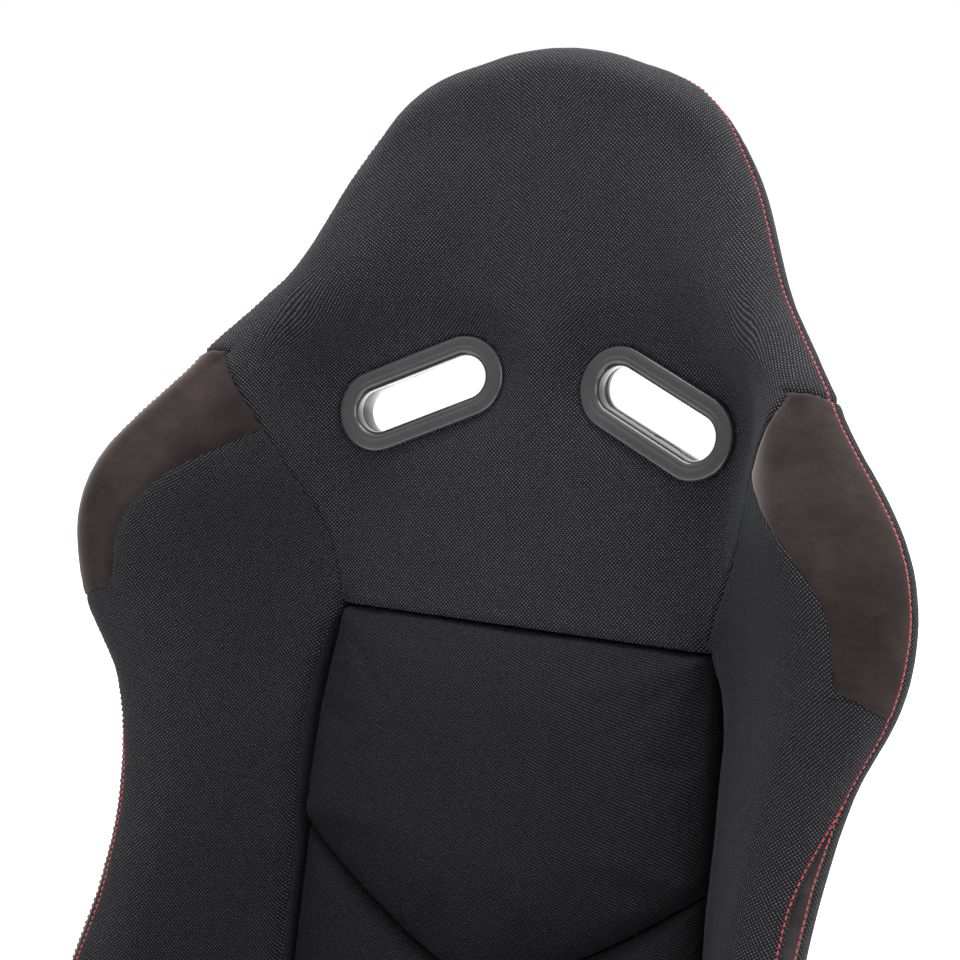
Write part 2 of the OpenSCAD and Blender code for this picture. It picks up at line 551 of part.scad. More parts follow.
// ---------- slide release ----------
bar_pivot_y = -110;
bar_pivot_z = 36;
bar_x = 158;
module at_bar_pivot() { translate([0, bar_pivot_y, bar_pivot_z]) children(); }
BAR = [[bar_x, 10, 0], [bar_x, -60, 0], [bar_x, -140, 3], [bar_x - 4, -180, 5], [bar_x - 16, -198, 6], [bar_x - 38, -206, 6.5], [80, -208, 6.5]];
module release_bar() color(steel_c) at_bar_pivot() {
    bar_along(concat(BAR, [for (i = [len(BAR) - 1 : -1 : 0]) [-BAR[i][0], BAR[i][1], BAR[i][2]]]), 5, 10, [0, 0, 1]);
    for (side = [-1, 1]) mirrored(side) along_x(bar_x, 166.4, 3);
}
module release_bar_grip() color(plastic_c) at_bar_pivot() translate([0, -208, 6.5]) difference() {
    along_x(-60, 60, 8.5);
    along_x(-61, 61, 5.05);
}
module release_bar_pivots() color(zinc_c) for (side = [-1, 1]) mirrored(side) difference() {
    union() {
        translate([163.5, bar_pivot_y - 9, bar_pivot_z]) cube([2.4, 18, pan_z - bar_pivot_z + sheet_t]);
        translate([163.5, bar_pivot_y - 9, pan_z]) cube([4.4, 18, sheet_t]);
        at_bar_pivot() along_x(163.5, 165.9, 9);
    }
    at_bar_pivot() along_x(160, 170, 3.06);
}
module slide_latch(side) color(zinc_c) at_bar_pivot() mirrored(side) {
    translate([163.1, -46, 0.8]) cube([12.4, 34, 2.6]);
    for (i = [0 : 2]) translate([170.8, -42.5 + i * 10, -1.6]) cube([3.6, 4, 2.6]);
}

// ---------- draw ----------
lower_rail(1);  // lower_rail_right
lower_rail(-1);  // lower_rail_left
rail_feet();
upper_rail(1);  // upper_rail_right
upper_rail(-1);  // upper_rail_left
rail_glides();
pan_side(1);  // pan_side_right
pan_side(-1);  // pan_side_left
cross_tube(-232, 80, 233.4);  // front_cross_tube
cross_tube(176, 80, 233.4);  // rear_cross_tube
seat_springs();
seat_cushion();
thigh_bolster(1);  // thigh_bolster_right
thigh_bolster(-1);  // thigh_bolster_left
base_bracket(1);  // base_bracket_right
base_bracket(-1);  // base_bracket_left
recliner_housing(1);  // recliner_housing_right
recliner_housing(-1);  // recliner_housing_left
side_shield(1);  // side_shield_right
side_shield(-1);  // side_shield_left
return_spring();
base_bolts();
rail_bolts();
release_bar();
release_bar_pivots();
slide_latch(1);  // slide_latch_right
slide_latch(-1);  // slide_latch_left
release_bar_grip();
recline_lever();
lever_grip();
release_rod();
recliner_cams();
back_frame();
back_bracket(1);  // back_bracket_right
back_bracket(-1);  // back_bracket_left
recliner_gear(1);  // recliner_gear_right
recliner_gear(-1);  // recliner_gear_left
back_springs();
head_foam();
shoulder_foam(1);  // shoulder_foam_right
shoulder_foam(-1);  // shoulder_foam_left
back_bolster(1);  // back_bolster_right
back_bolster(-1);  // back_bolster_left
back_cushion();
lumbar_pad();
rear_cover();
slot_tray();
front_bezel(1);  // front_bezel_right
front_bezel(-1);  // front_bezel_left
rear_bezel(1);  // rear_bezel_right
rear_bezel(-1);  // rear_bezel_left
back_bolts();
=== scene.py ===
"""Looks of the racing seat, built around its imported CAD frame."""
import math

import bpy
import numpy as np
from mathutils import Matrix, Vector, kdtree


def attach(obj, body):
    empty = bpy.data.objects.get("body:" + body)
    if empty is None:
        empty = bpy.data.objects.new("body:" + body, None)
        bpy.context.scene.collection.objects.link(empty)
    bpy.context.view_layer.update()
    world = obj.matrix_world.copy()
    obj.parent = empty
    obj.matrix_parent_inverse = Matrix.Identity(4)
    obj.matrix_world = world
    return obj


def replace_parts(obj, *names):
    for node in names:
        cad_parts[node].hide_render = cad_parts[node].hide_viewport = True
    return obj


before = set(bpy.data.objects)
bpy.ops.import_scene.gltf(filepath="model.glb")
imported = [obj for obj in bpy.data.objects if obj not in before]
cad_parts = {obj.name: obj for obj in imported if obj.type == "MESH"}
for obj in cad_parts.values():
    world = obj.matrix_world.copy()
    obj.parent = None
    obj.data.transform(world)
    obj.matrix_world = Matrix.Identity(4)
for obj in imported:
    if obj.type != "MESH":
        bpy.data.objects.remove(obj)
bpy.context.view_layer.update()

MM = 0.001
scene = bpy.context.scene

# ---------------------------------------------------------------- camera
AZIMUTH, ELEVATION = math.radians(28.54), math.radians(10.96)
DISTANCE, TARGET = 1.2506, Vector((-0.027, 0.2417, 0.5968))
SENSOR, LENS = 36, 71.82
flat = math.cos(ELEVATION)
right = Vector((math.cos(AZIMUTH), math.sin(AZIMUTH), 0))
back = Vector((math.sin(AZIMUTH) * flat, -math.cos(AZIMUTH) * flat, math.sin(ELEVATION)))
cam = bpy.data.objects.new("Camera", bpy.data.cameras.new("Camera"))
scene.collection.objects.link(cam)
cam.matrix_world = Matrix((right, back.cross(right), back)).transposed().to_4x4()
cam.location = TARGET + back * DISTANCE
cam.data.sensor_width = SENSOR
cam.data.lens = LENS
cam.data.clip_end = 60
scene.camera = cam
scene.view_settings.view_transform = "Standard"

# ---------------------------------------------------------------- design tables, millimetres
# Backrest coordinates: u across, v up the backrest, w towards the front, from the recline axis
LEAN, PIVOT_Y, PIVOT_Z = math.radians(14), 190.0, 150.0
# Centre of the roll round the backrest's edge, as (u, v, w), and its radius
ROLL = 20.0
EDGE = np.array([
    [243, -20, 130], [237, 62, 129], [222, 146, 119], [223, 222, 107], [238, 291, 109], [265, 358, 126],
    [260, 423, 131], [211, 491, 108], [160, 562, 76], [123, 643, 60], [88, 686, 60], [43, 703, 60],
    [0, 710, 58]], float)
TOP = len(EDGE) - 1
# Against v: u of the bolster's inner seam, w of the middle, u where the front starts to rise
# and where it crests
SEAM = [[-20, 149], [204, 149.5], [245, 151], [300, 148.5], [332, 142.5], [354, 132.5], [401, 145], [433, 160.5],
        [464, 172], [491, 184], [513, 199]]
FACE = [[-20, 36], [130, 38], [260, 44], [354, 40], [440, 43], [490, 45], [540, 53], [600, 66], [650, 74],
        [730, 80]]
BASE = [[-20, 149], [204, 149], [300, 143], [354, 136], [424, 132], [464, 134], [510, 138], [545, 95],
        [580, 60], [640, 30], [700, 0]]
CREST = [[-20, 214], [204, 208], [290, 222], [352, 246], [403, 235], [424, 215], [464, 202], [516, 190],
         [730, 190]]
# Inner edge of the shoulder patch, u against v
PATCH_U = [[342.5, 300], [343.5, 276], [344.5, 262], [346, 255], [350, 250.5], [356, 248.5], [365, 247.5],
           [377, 247], [390, 243], [403, 235], [424, 215], [445, 190], [464, 172], [510, 172]]
CUSHION_V, SEAM_END_V, BOTTOM_V = 354.0, 513.0, -20.0
GUSSET_V, PATCH_V = 300.0, 342.5
SLOT_U, SLOT_V, SLOT_W, SLOT_SLOPE, SLOT_TURN = 86.0, 500.0, 44.0, math.radians(25), math.radians(7.6)
SLOT_HALF, SLOT_R, FLANGE_R = 33.0, 14.5, 28.0
# End of the front sleeve behind the flange, depth of the recess behind it, and the tunnel's rise to the back
SLEEVE_END, RECESS_W, RISE = 7.6, 27.0, 0.1
# The side panel draws in behind the roll and bulges a little
SIDE_SLOPE, SIDE_TUCK, SIDE_BULGE = 0.38, 4.0, 5.0
# How far the head seam slants on the roll, in places along the edge, and how far its rows fan out
SEAM_SLANT, SEAM_FAN = 0.21, 96.0


def ease(x):
    """A smooth step from 0 to 1."""
    x = np.clip(x, 0, 1)
    return x * x * (3 - 2 * x)


def bell(reach, sigma):
    """Bell-curve weights for the whole steps from -reach to reach."""
    k = np.exp(-0.5 * (np.arange(-reach, reach + 1) / sigma) ** 2)
    return k / k.sum()


def table(points, sigma, start=-80):
    """A smooth function through a table, rounded off over sigma millimetres."""
    xs, ys = np.array(points, float).T
    x = np.arange(start, start + 880.0)
    y = np.pad(np.interp(x, xs, ys), 3 * sigma, mode="edge")
    y = np.convolve(y, bell(3 * sigma, sigma), mode="valid")
    return lambda v: np.interp(v, x, y)


seam_u, face_w, base_u, crest_u = table(SEAM, 6), table(FACE, 16), table(BASE, 14), table(CREST, 12)
patch_u = table(PATCH_U, 1)


def unit(vectors):
    return vectors / np.maximum(np.linalg.norm(vectors, axis=-1, keepdims=True), 1e-9)


def edge(s):
    """Centre of the edge roll at place s along it: 0 is the bottom and TOP the middle of the head."""
    s = np.asarray(s, float)
    i = np.clip(np.floor(s).astype(int), 0, TOP - 1)
    rows = np.vstack([2 * EDGE[0] - EDGE[1], EDGE, EDGE[TOP - 1] * [-1, 1, 1]])
    a, b, c, d = (rows[i + j] for j in range(4))
    t = (s - i)[..., None]
    square, cube = 2 * a - 5 * b + 4 * c - d, 3 * b - a - 3 * c + d
    return 0.5 * (2 * b + (c - a) * t + square * t ** 2 + cube * t ** 3)


def edge_out(s):
    """Outward direction of the edge in the u-v plane."""
    s = np.asarray(s, float)
    d = edge(np.minimum(s + 0.02, TOP)) - edge(s - 0.02)
    d = np.where((s > TOP - 0.03)[..., None], np.array([-1.0, 0, 0]), d)
    d = d / np.linalg.norm(d[..., :2], axis=-1, keepdims=True)
    return np.stack([d[..., 1], -d[..., 0]], -1)


S_FINE = np.linspace(0, TOP, 4801)
V_FINE = edge(S_FINE)[:, 1]


def s_at(v):
    """Place along the edge at height v."""
    return np.interp(v, V_FINE, S_FINE)


S_BOTTOM, S_CUSHION, S_SEAM = (float(s_at(v)) for v in (BOTTOM_V, CUSHION_V, SEAM_END_V))


def rear_w(v):
    return -28 + 27 * ease((v - 250) / 185)


def side_reach(e):
    """How far the side panel draws in between the roll and the rear edge."""
    return (e[..., 2] - rear_w(e[..., 1])) * SIDE_SLOPE + SIDE_TUCK


def slot_place(u, v):
    """Place in the harness slot's own frame, along and across it, of a point on the right half."""
    a, b = (u - SLOT_U) / math.cos(SLOT_TURN), v - SLOT_V
    c, s = math.cos(SLOT_SLOPE), math.sin(SLOT_SLOPE)
    return a * c - b * s, a * s + b * c


def slot_gap(u, v):
    """Distance of a point on the right half from the harness slot's middle line."""
    x, y = slot_place(u, v)
    return np.hypot(np.maximum(np.abs(x) - SLOT_HALF, 0), y)


def front_exact(u, v):
    """Height w of the padded front, before smoothing."""
    e = edge(s_at(v))
    half, w, low = e[..., 0], e[..., 2], face_w(v)
    foot = np.minimum(base_u(v), half - 30)
    crest = np.minimum(crest_u(v), half)
    w = low + (w + ROLL - low) * ease((u - foot) / (crest - foot))
    # level seats for the two bezels
    seat = SLOT_W + 0.6 + (u - SLOT_U) * math.tan(SLOT_TURN)
    return w + (seat - w) * (1 - ease((slot_gap(u, v) - 22) / 34))


STEP = 2.0
GU, GV = np.arange(0, 312, STEP), np.arange(-60, 740, STEP)
GRID = front_exact(GU[None, :], GV[:, None] + 0 * GU[None, :])
blur = bell(7, 5.0 / STEP)
wide = np.pad(GRID, ((7, 7), (7, 7)), mode="edge")
wide[:, :7] = wide[:, 14:7:-1]
GRID = sum(blur[i] * wide[i:i + GRID.shape[0]] for i in range(15))
GRID = sum(blur[i] * GRID[:, i:i + len(GU)] for i in range(15))
ARC_U = np.hstack([np.zeros((len(GV), 1)), np.cumsum(np.hypot(np.diff(GRID, axis=1), STEP), axis=1)])
ARC_V = np.vstack([np.zeros((1, len(GU))), np.cumsum(np.hypot(np.diff(GRID, axis=0), STEP), axis=0)])


def sample(values, u, v):
    """A grid's value at any place, between its four nearest points."""
    x = np.clip((u - GU[0]) / STEP, 0, len(GU) - 1.001)
    y = np.clip((v - GV[0]) / STEP, 0, len(GV) - 1.001)
    i, j = x.astype(int), y.astype(int)
    fx, fy = x - i, y - j
    return ((values[j, i] * (1 - fx) + values[j, i + 1] * fx) * (1 - fy)
            + (values[j + 1, i] * (1 - fx) + values[j + 1, i + 1] * fx) * fy)


TAPER_ANGLE = math.atan(SIDE_SLOPE)
FRONT_ANGLE = math.pi / 2
GUSSET_ANGLE = math.radians(57)


def stitch_angle(v, s):
    """Angle round the edge roll of the red stitched seam, 0 outermost and FRONT_ANGLE at the front."""
    return np.radians(27 - 12 * ease((v - 230) / 75) - 33 * ease((s - 9.0) / 1.6))


def surf(s, t):
    """The padded surface of the right half. t: 0 to 1 the front, 1 to 2 round the roll to the stitched seam,
    2 to 3 the side back to the rear edge. Gives points and cloth coordinates, both in millimetres."""
    s, t = np.broadcast_arrays(np.asarray(s, float), np.asarray(t, float))
    # the head seam slants down as it crosses the roll
    s = s - SEAM_SLANT * np.clip(t - 1, 0, 1) * np.exp(-((s - S_SEAM) / 0.5) ** 2)
    e, out = edge(s), edge_out(s)
    half, v = e[..., 0], e[..., 1]
    # above the seam the rows fan out from the middle of the head
    climb = np.clip((s - S_SEAM) / (TOP - S_SEAM), 0, 1)
    mid_v = np.where(s > S_SEAM, SEAM_END_V + SEAM_FAN * (1 - (1 - climb) ** 1.7), v)
    f = np.clip(t, 0, 1)
    u0, v0 = f * half, mid_v + (v - mid_v) * f
    stop = stitch_angle(v, s)
    centre_w = sample(GRID, half, v) - ROLL
    # the side: further round the roll to the taper, then a slightly bulging straight to the rear edge
    round_mm = ROLL * (stop + TAPER_ANGLE)
    x1, y1 = ROLL * math.cos(TAPER_ANGLE), -ROLL * math.sin(TAPER_ANGLE)
    x2, y2 = ROLL - side_reach(e), rear_w(v) - centre_w
    straight_mm = np.hypot(x2 - x1, y2 - y1)
    d = np.clip(t - 2, 0, 1) * (round_mm + straight_mm)
    angle = FRONT_ANGLE + (stop - FRONT_ANGLE) * np.clip(t - 1, 0, 1)
    angle = np.where(t > 2, stop - np.minimum(d, round_mm) / ROLL, angle)
    g = np.clip((d - round_mm) / straight_mm, 0, 1)
    x = np.where(g > 0, x1 + (x2 - x1) * g + SIDE_BULGE * np.sin(math.pi * g), ROLL * np.cos(angle))
    y = np.where(g > 0, y1 + (y2 - y1) * g, ROLL * np.sin(angle))
    on_front = t <= 1
    x = np.where(on_front, 0, x)
    w = np.where(on_front, sample(GRID, u0, v0), centre_w + y)
    p = np.stack([u0 + out[..., 0] * x, v0 + out[..., 1] * x, w], -1)
    along = np.where(on_front, 0, ROLL * (FRONT_ANGLE - angle) + g * straight_mm)
    cloth = np.stack([sample(ARC_U, u0, v0) + out[..., 0] * along,
                      sample(ARC_V, u0, v0) + out[..., 1] * along], -1)
    return p, cloth


def line_on(s, t):
    return surf(s, t)[0]


def surf_normal(s, t, small=0.02):
    """Outward normals of that surface, from its own slopes."""
    s, t = np.broadcast_arrays(np.asarray(s, float), np.asarray(t, float))
    across = line_on(s, np.minimum(t + small, 3)) - line_on(s, np.maximum(t - small, 0))
    along = line_on(np.minimum(s + small, TOP), t) - line_on(s - small, t)
    return unit(np.cross(across, along))


def t_seam(s):
    """Where the head panel ends and the bolster starts."""
    e = edge(s)
    return np.where(s >= S_SEAM, 1.0, np.minimum(1, seam_u(e[..., 1]) / e[..., 0]))


def t_out(s):
    """Where the bolsters' front panel ends: at the gusset, the stitched seam, then the shoulder patch."""
    half, v = edge(s)[..., 0], edge(s)[..., 1]
    span = FRONT_ANGLE - stitch_angle(v, s)
    gusset = (FRONT_ANGLE - GUSSET_ANGLE) / span
    low = 1 + gusset + (1 - gusset) * ease((v - 215) / 88)
    u = patch_u(v)
    roll = 1 + (FRONT_ANGLE - np.arccos(np.clip((u - half) / ROLL, 0, 1))) / span
    high = np.where(u < half, u / half, np.minimum(roll, 2))
    return np.maximum(np.where(v < 320, low, high), t_seam(s))


def to_world(p):
    u, v, w = p[..., 0], p[..., 1], p[..., 2]
    return np.stack([u, PIVOT_Y + v * math.sin(LEAN) - w * math.cos(LEAN),
                     PIVOT_Z + v * math.cos(LEAN) + w * math.sin(LEAN)], -1)


def from_world(p):
    """World millimetres to backrest coordinates."""
    y, z = p[..., 1] - PIVOT_Y, p[..., 2] - PIVOT_Z
    up, front = y * math.sin(LEAN) + z * math.cos(LEAN), z * math.sin(LEAN) - y * math.cos(LEAN)
    return np.stack([p[..., 0], up, front], -1)


def mirrored(p):
    q = np.array(p, float)
    q[..., 0] *= -1
    return q


# ---------------------------------------------------------------- soft surface detail
rng = np.random.default_rng(7)
# Directions, phases, lengths and heights of the waves, in three sizes
WAVES = [(rng.normal(size=3), rng.uniform(0, 6.28), length, height)
         for length, height, count in ((170, 0.5, 5), (75, 0.22, 6), (34, 0.07, 6)) for _ in range(count)]


def waves(p):
    """Slow unevenness of stuffed cloth, in millimetres along the normal."""
    return sum(height * np.sin(p @ unit(d) * math.tau / length + phase) for d, phase, length, height in WAVES)


class Tree:
    """Distance to a set of seam lines, each with the depth and width of the tuck beside it."""

    def __init__(self, lines):
        points, self.depth, self.width, self.run = [], [], [], []
        for line, depth, width in lines:
            run = run_along(line)
            n = max(2, int(run[-1]))
            r = np.linspace(0, run[-1], n)
            points.append(follow(r, run, line))
            self.depth += [depth] * n
            self.width += [width] * n
            self.run += list(r)
        points = np.vstack(points)
        self.kd = kdtree.KDTree(len(points))
        for i, p in enumerate(points):
            self.kd.insert(p, i)
        self.kd.balance()

    def dip(self, p):
        """Height of the cloth beside the seams: the tuck, and a fine ripple along the seam."""
        out = np.zeros(len(p))
        widest = float(max(self.width))
        for i, q in enumerate(p):
            nearest, j, away = self.kd.find(q)
            if away > widest + 20:
                continue
            tuck = 0.0
            for nearest, k, d in self.kd.find_range(q, widest):
                x = 1 - d / self.width[k]
                if x > 0:
                    tuck = max(tuck, self.depth[k] * (1 - math.sqrt(max(0.0, 1 - x * x))))
            run = self.run[j]
            ripple = 0.12 * math.sin(run / 1.9 + 1.3 * math.sin(run / 17.0)) + 0.08 * math.sin(run / 4.7)
            out[i] = ripple * math.exp(-((away - 5) / 5.0) ** 2) - tuck
        return out


def run_along(line):
    """Length along a line up to each of its points."""
    return np.concatenate([[0], np.cumsum(np.linalg.norm(np.diff(line, axis=0), axis=1))])


def follow(r, run, line):
    """Points at the lengths r along a line."""
    return np.stack([np.interp(r, run, column) for column in np.asarray(line).T], -1)


def seam_lines():
    """Every sewn line of the right half, with the depth and width of its tuck."""
    low, high = np.linspace(0, S_CUSHION, 160), np.linspace(S_CUSHION, S_SEAM, 120)
    patch = s_at(np.concatenate([np.linspace(PATCH_V, 358, 60), np.linspace(359, 464, 90)]))
    gusset = s_at(np.linspace(BOTTOM_V, GUSSET_V, 120))
    return [
        (line_on(high, t_seam(high)), 2.8, 4.2),
        (line_on(S_SEAM, np.linspace(1, 3, 60)), 2.8, 4.2),
        (line_on(low, t_seam(low)), 12.0, 15.0),
        (line_on(np.linspace(0, TOP, 700), 2.0), 1.7, 4.2),
        (line_on(S_CUSHION, np.linspace(0, t_seam(np.array(S_CUSHION)), 60)), 2.4, 6.0),
        (line_on(patch, t_out(patch)), 1.9, 4.5),
        (line_on(gusset, t_out(gusset)), 1.7, 4.2),
        (line_on(np.linspace(0, TOP, 500), 3.0), 2.0, 5.0),
    ]


def stadium(n_arc, n_line, r):
    """Points round a stadium of the slot's length, with ends of radius r."""
    points = []
    for side in (1, -1):
        for a in np.linspace(-math.pi / 2, math.pi / 2, n_arc, endpoint=False):
            points.append([side * (SLOT_HALF + math.cos(a) * r), side * math.sin(a) * r])
        for f in np.linspace(0, 1, n_line, endpoint=False):
            points.append([side * SLOT_HALF * (1 - 2 * f), side * r])
    return np.array(points)


def slot_to_back(x, depth, z, side, rear=False):
    """From a slot's frame (x along it, depth into the backrest, z across it) to backrest coordinates."""
    c, s = math.cos(SLOT_SLOPE), math.sin(SLOT_SLOPE)
    px, pz = x * c + z * s, z * c - x * s
    tc, ts = math.cos(SLOT_TURN), math.sin(SLOT_TURN)
    if rear:
        u = px * tc + SLOT_U + (SLOT_W + depth) * ts / tc
        return np.stack([side * u, SLOT_V + pz + RISE * (SLOT_W + 1 + depth), -depth + 0 * px], -1)
    u, w = px * tc + depth * ts + SLOT_U, SLOT_W + px * ts - depth * tc
    return np.stack([side * u, SLOT_V + pz + RISE * np.maximum(depth + 1, 0), w], -1)


x, z = stadium(40, 40, FLANGE_R).T
TREE = Tree(seam_lines() + [(slot_to_back(x, np.full(len(x), -1.0), z, 1), 1.3, 7.0)])


# ---------------------------------------------------------------- meshes
def grid_faces(n, m, base=0, flip=False):
    i, j = np.meshgrid(np.arange(n - 1), np.arange(m - 1), indexing="ij")
    a = (base + i * m + j).ravel()
    f = np.stack([a, a + 1, a + m + 1, a + m], -1)
    return f[:, ::-1] if flip else f


def ring_faces(n, m, base=0, wrap=False):
    """Quads between n rings of m points each. With wrap, the last ring meets the first."""
    starts = [(base + i * m, base + (i + 1) % n * m) for i in range(n if wrap else n - 1)]
    return [[a + j, a + (j + 1) % m, b + (j + 1) % m, b + j] for a, b in starts for j in range(m)]


def merge(parts):
    """Joins (points, values, faces) parts and unites the points that coincide."""
    points, values, faces, base = [], [], [], 0
    for p, c, f in parts:
        points.append(p)
        values.append(c)
        faces.append(f + base)
        base += len(p)
    points, values, faces = np.vstack(points), np.vstack(values), np.vstack(faces)
    _, first, inverse = np.unique(np.round(points, 3), axis=0, return_index=True, return_inverse=True)
    faces = inverse.ravel()[faces]
    good = np.array([len(set(f)) >= 3 for f in faces])
    return points[first], values[first], faces[good]


def kept(faces, *values):
    """The values of the points that the faces use, and the faces renumbered to them."""
    used = np.unique(faces)
    new = np.full(len(values[0]), -1)
    new[used] = np.arange(len(used))
    return [x[used] for x in values] + [new[faces]]


def vertex_normals(points, faces):
    n = np.zeros_like(points)
    a, b, c, d = (points[faces[:, i]] for i in range(4))
    for i in range(4):
        np.add.at(n, faces[:, i], np.cross(c - a, d - b))
    return unit(n)


def border(faces):
    """Directed edges that only one face uses."""
    e = np.vstack([faces[:, [i, (i + 1) % 4]] for i in range(4)])
    e = e[e[:, 0] != e[:, 1]]
    have = set(map(tuple, e))
    return [(int(a), int(b)) for a, b in map(tuple, e) if (b, a) not in have]


def without_doubles(faces):
    """The quads as lists, as triangles where two corners are one point."""
    return [[int(f[i]) for i in range(4) if f[i] != f[(i + 1) % 4]] for f in faces]


def new_object(name, points, cloth, faces, material, body="backrest"):
    """A smooth mesh from points in world millimetres, riding on one body."""
    me = bpy.data.meshes.new(name)
    me.from_pydata((np.asarray(points) * MM).tolist(), [], faces)
    if cloth is not None:
        layer = me.uv_layers.new(name="cloth")
        corners = np.zeros(len(me.loops), np.int32)
        me.loops.foreach_get("vertex_index", corners)
        layer.data.foreach_set("uv", (np.asarray(cloth)[corners] * MM).astype(np.float32).ravel())
    me.polygons.foreach_set("use_smooth", [True] * len(me.polygons))
    me.materials.append(material)
    me.update()
    me.set_sharp_from_angle(angle=math.radians(58))
    ob = bpy.data.objects.new(name, me)
    scene.collection.objects.link(ob)
    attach(ob, body)
    return ob


def closed_shell(points, cloth, faces, thick):
    """A sheet of that thickness: the surface, its inner face, and the rim between them."""
    m = len(points)
    inner = points - vertex_normals(points, faces) * thick
    out = without_doubles(faces) + [f[::-1] for f in without_doubles(faces + m)]
    out += [[b, a, a + m, b + m] for a, b in border(faces)]
    return np.vstack([points, inner]), np.vstack([cloth, cloth]), out


def panel(name, parts, side, material, thick=5.0, both=False, holes=False):
    """A sewn panel of the backrest, from surface grids of the right half."""
    p, extra, faces = merge(parts)
    if holes:
        mid = p[faces].mean(1)
        faces = faces[slot_gap(mid[:, 0], mid[:, 1]) > SLOT_R + 4.5]
        p, extra, faces = kept(faces, p, extra)
    cloth, n, at = extra[:, :2], extra[:, 2:5].copy(), extra[:, 5:8]
    if both:
        n[np.abs(p[:, 0]) < 1e-3, 0] = 0
        n = unit(n)
    shift = TREE.dip(at) + waves(at)
    if holes:
        # the cloth is held under the bezel's flange
        d = slot_gap(p[:, 0], p[:, 1]) - FLANGE_R
        shift = np.where(d < 0, -1.6, shift * ease(d / 10))
    p = p + n * shift[:, None]
    if both:
        p, cloth, faces = merge([(p, cloth, faces), (mirrored(p), cloth * [-1, 1], faces[:, ::-1])])
    elif side < 0:
        p, cloth, faces = mirrored(p), cloth * [-1, 1], faces[:, ::-1]
    p, cloth, faces = closed_shell(p, cloth, faces, thick)
    return new_object(name, to_world(p), cloth, faces, material)


# Depths of the skirt's rows below the panel it hangs from
SKIRT = np.array([24.0, 15.0, 8.0, 3.5])


def grid_part(s, t, skirt=None):
    """A grid of the padded surface with its cloth, normals and places.

    skirt adds a strip that turns in from the first column ("inner") or the first row ("low")."""
    p, cloth = surf(s[:, None], t)
    values = [p, cloth, surf_normal(s[:, None], t), p.copy()]
    if skirt:
        axis = 1 if skirt == "inner" else 0
        drops = SKIRT.reshape((1, 4) if axis else (4, 1))
        strip = [np.repeat(np.take(x, [0], axis=axis), 4, axis=axis) for x in values]
        strip[0][..., 2] -= drops
        strip[0][..., 1 - axis] -= 0.25 * np.sqrt(drops)
        strip[1][..., 1 - axis] -= drops
        values = [np.concatenate(pair, axis) for pair in zip(strip, values)]
    p = values[0]
    return p.reshape(-1, 3), np.concatenate(values[1:], -1).reshape(-1, 8), grid_faces(*p.shape[:2])


def stations(length, step):
    """Places from 0 to 1, close together near both ends."""
    fine = np.array([0, 0.7, 1.5, 2.5, 3.8, 5.5, 8.0])
    n = max(2, int((length - 16) / step))
    x = np.concatenate([fine, np.linspace(8, length - 8, n + 1)[1:-1], length - fine[::-1]])
    return x / length


def rows_at(*spans):
    """Places along the edge for heights v given as (from, to, step)."""
    return s_at(np.concatenate([np.arange(*span) for span in spans] + [[spans[-1][1]]]))


def columns(s, t0, t1, length, step, cap=None):
    """Columns from t0 to t1 on each row. With cap, those beyond it shrink away where t1 falls below it."""
    t0, t1 = (np.broadcast_to(t, s.shape)[:, None] for t in (t0, t1))
    f = stations(length, step)[None, :]
    if cap is None:
        return t0 + (t1 - t0) * f
    mid = np.minimum(t1, np.maximum(cap, t0))
    g = np.concatenate([np.linspace(0, 0.9, 15)[1:], [0.93, 0.96, 0.985, 1.0]])[None, :]
    return np.hstack([t0 + (mid - t0) * f, mid + (t1 - mid) * g])


# ---------------------------------------------------------------- materials
class Nodes:
    """A node tree with a few short ways to add nodes."""

    def __init__(self, tree):
        self.tree = tree

    def feed(self, socket, value):
        """Links a socket to another node's output, or sets it."""
        if isinstance(value, bpy.types.NodeSocket):
            self.tree.links.new(value, socket)
        elif value is not None:
            socket.default_value = value

    def node(self, kind, inputs=(), **settings):
        n = self.tree.nodes.new("ShaderNode" + kind)
        for name, value in settings.items():
            setattr(n, name, value)
        for key, value in (inputs.items() if isinstance(inputs, dict) else enumerate(inputs)):
            self.feed(n.inputs[key], value)
        return n

    def math(self, operation, a, b=None, c=None):
        return self.node("Math", [a, b, c], operation=operation).outputs[0]

    def times(self, a, b):
        return self.math("MULTIPLY", a, b)

    def times_plus(self, a, b, c):
        return self.math("MULTIPLY_ADD", a, b, c)

    def mix(self, f, a, b):
        return self.node("Mix", {0: f, 6: a, 7: b}, data_type="RGBA").outputs[2]

    def noise(self, where, scale, detail=2.0, rough=0.5):
        inputs = {"Vector": where, "Scale": scale, "Detail": detail, "Roughness": rough}
        return self.node("TexNoise", inputs).outputs["Fac"]

    def spread(self, x, a, b):
        """x mapped so that a becomes 0 and b becomes 1."""
        return self.node("MapRange", {0: x, 1: a, 2: b, 3: 0.0, 4: 1.0}, clamp=True).outputs[0]

    def stretched(self, where, scale, turn=0.0):
        return self.node("Mapping", {"Vector": where, "Scale": scale, "Rotation": (0, 0, turn)}).outputs[0]

    def bump(self, height, distance, strength=1.0, over=None):
        inputs = {"Height": height, "Distance": distance, "Strength": strength, "Normal": over}
        return self.node("Bump", inputs).outputs[0]

    def cloth(self):
        return self.node("UVMap", uv_map="cloth").outputs[0]

    def place(self):
        return self.node("TexCoord").outputs["Object"]


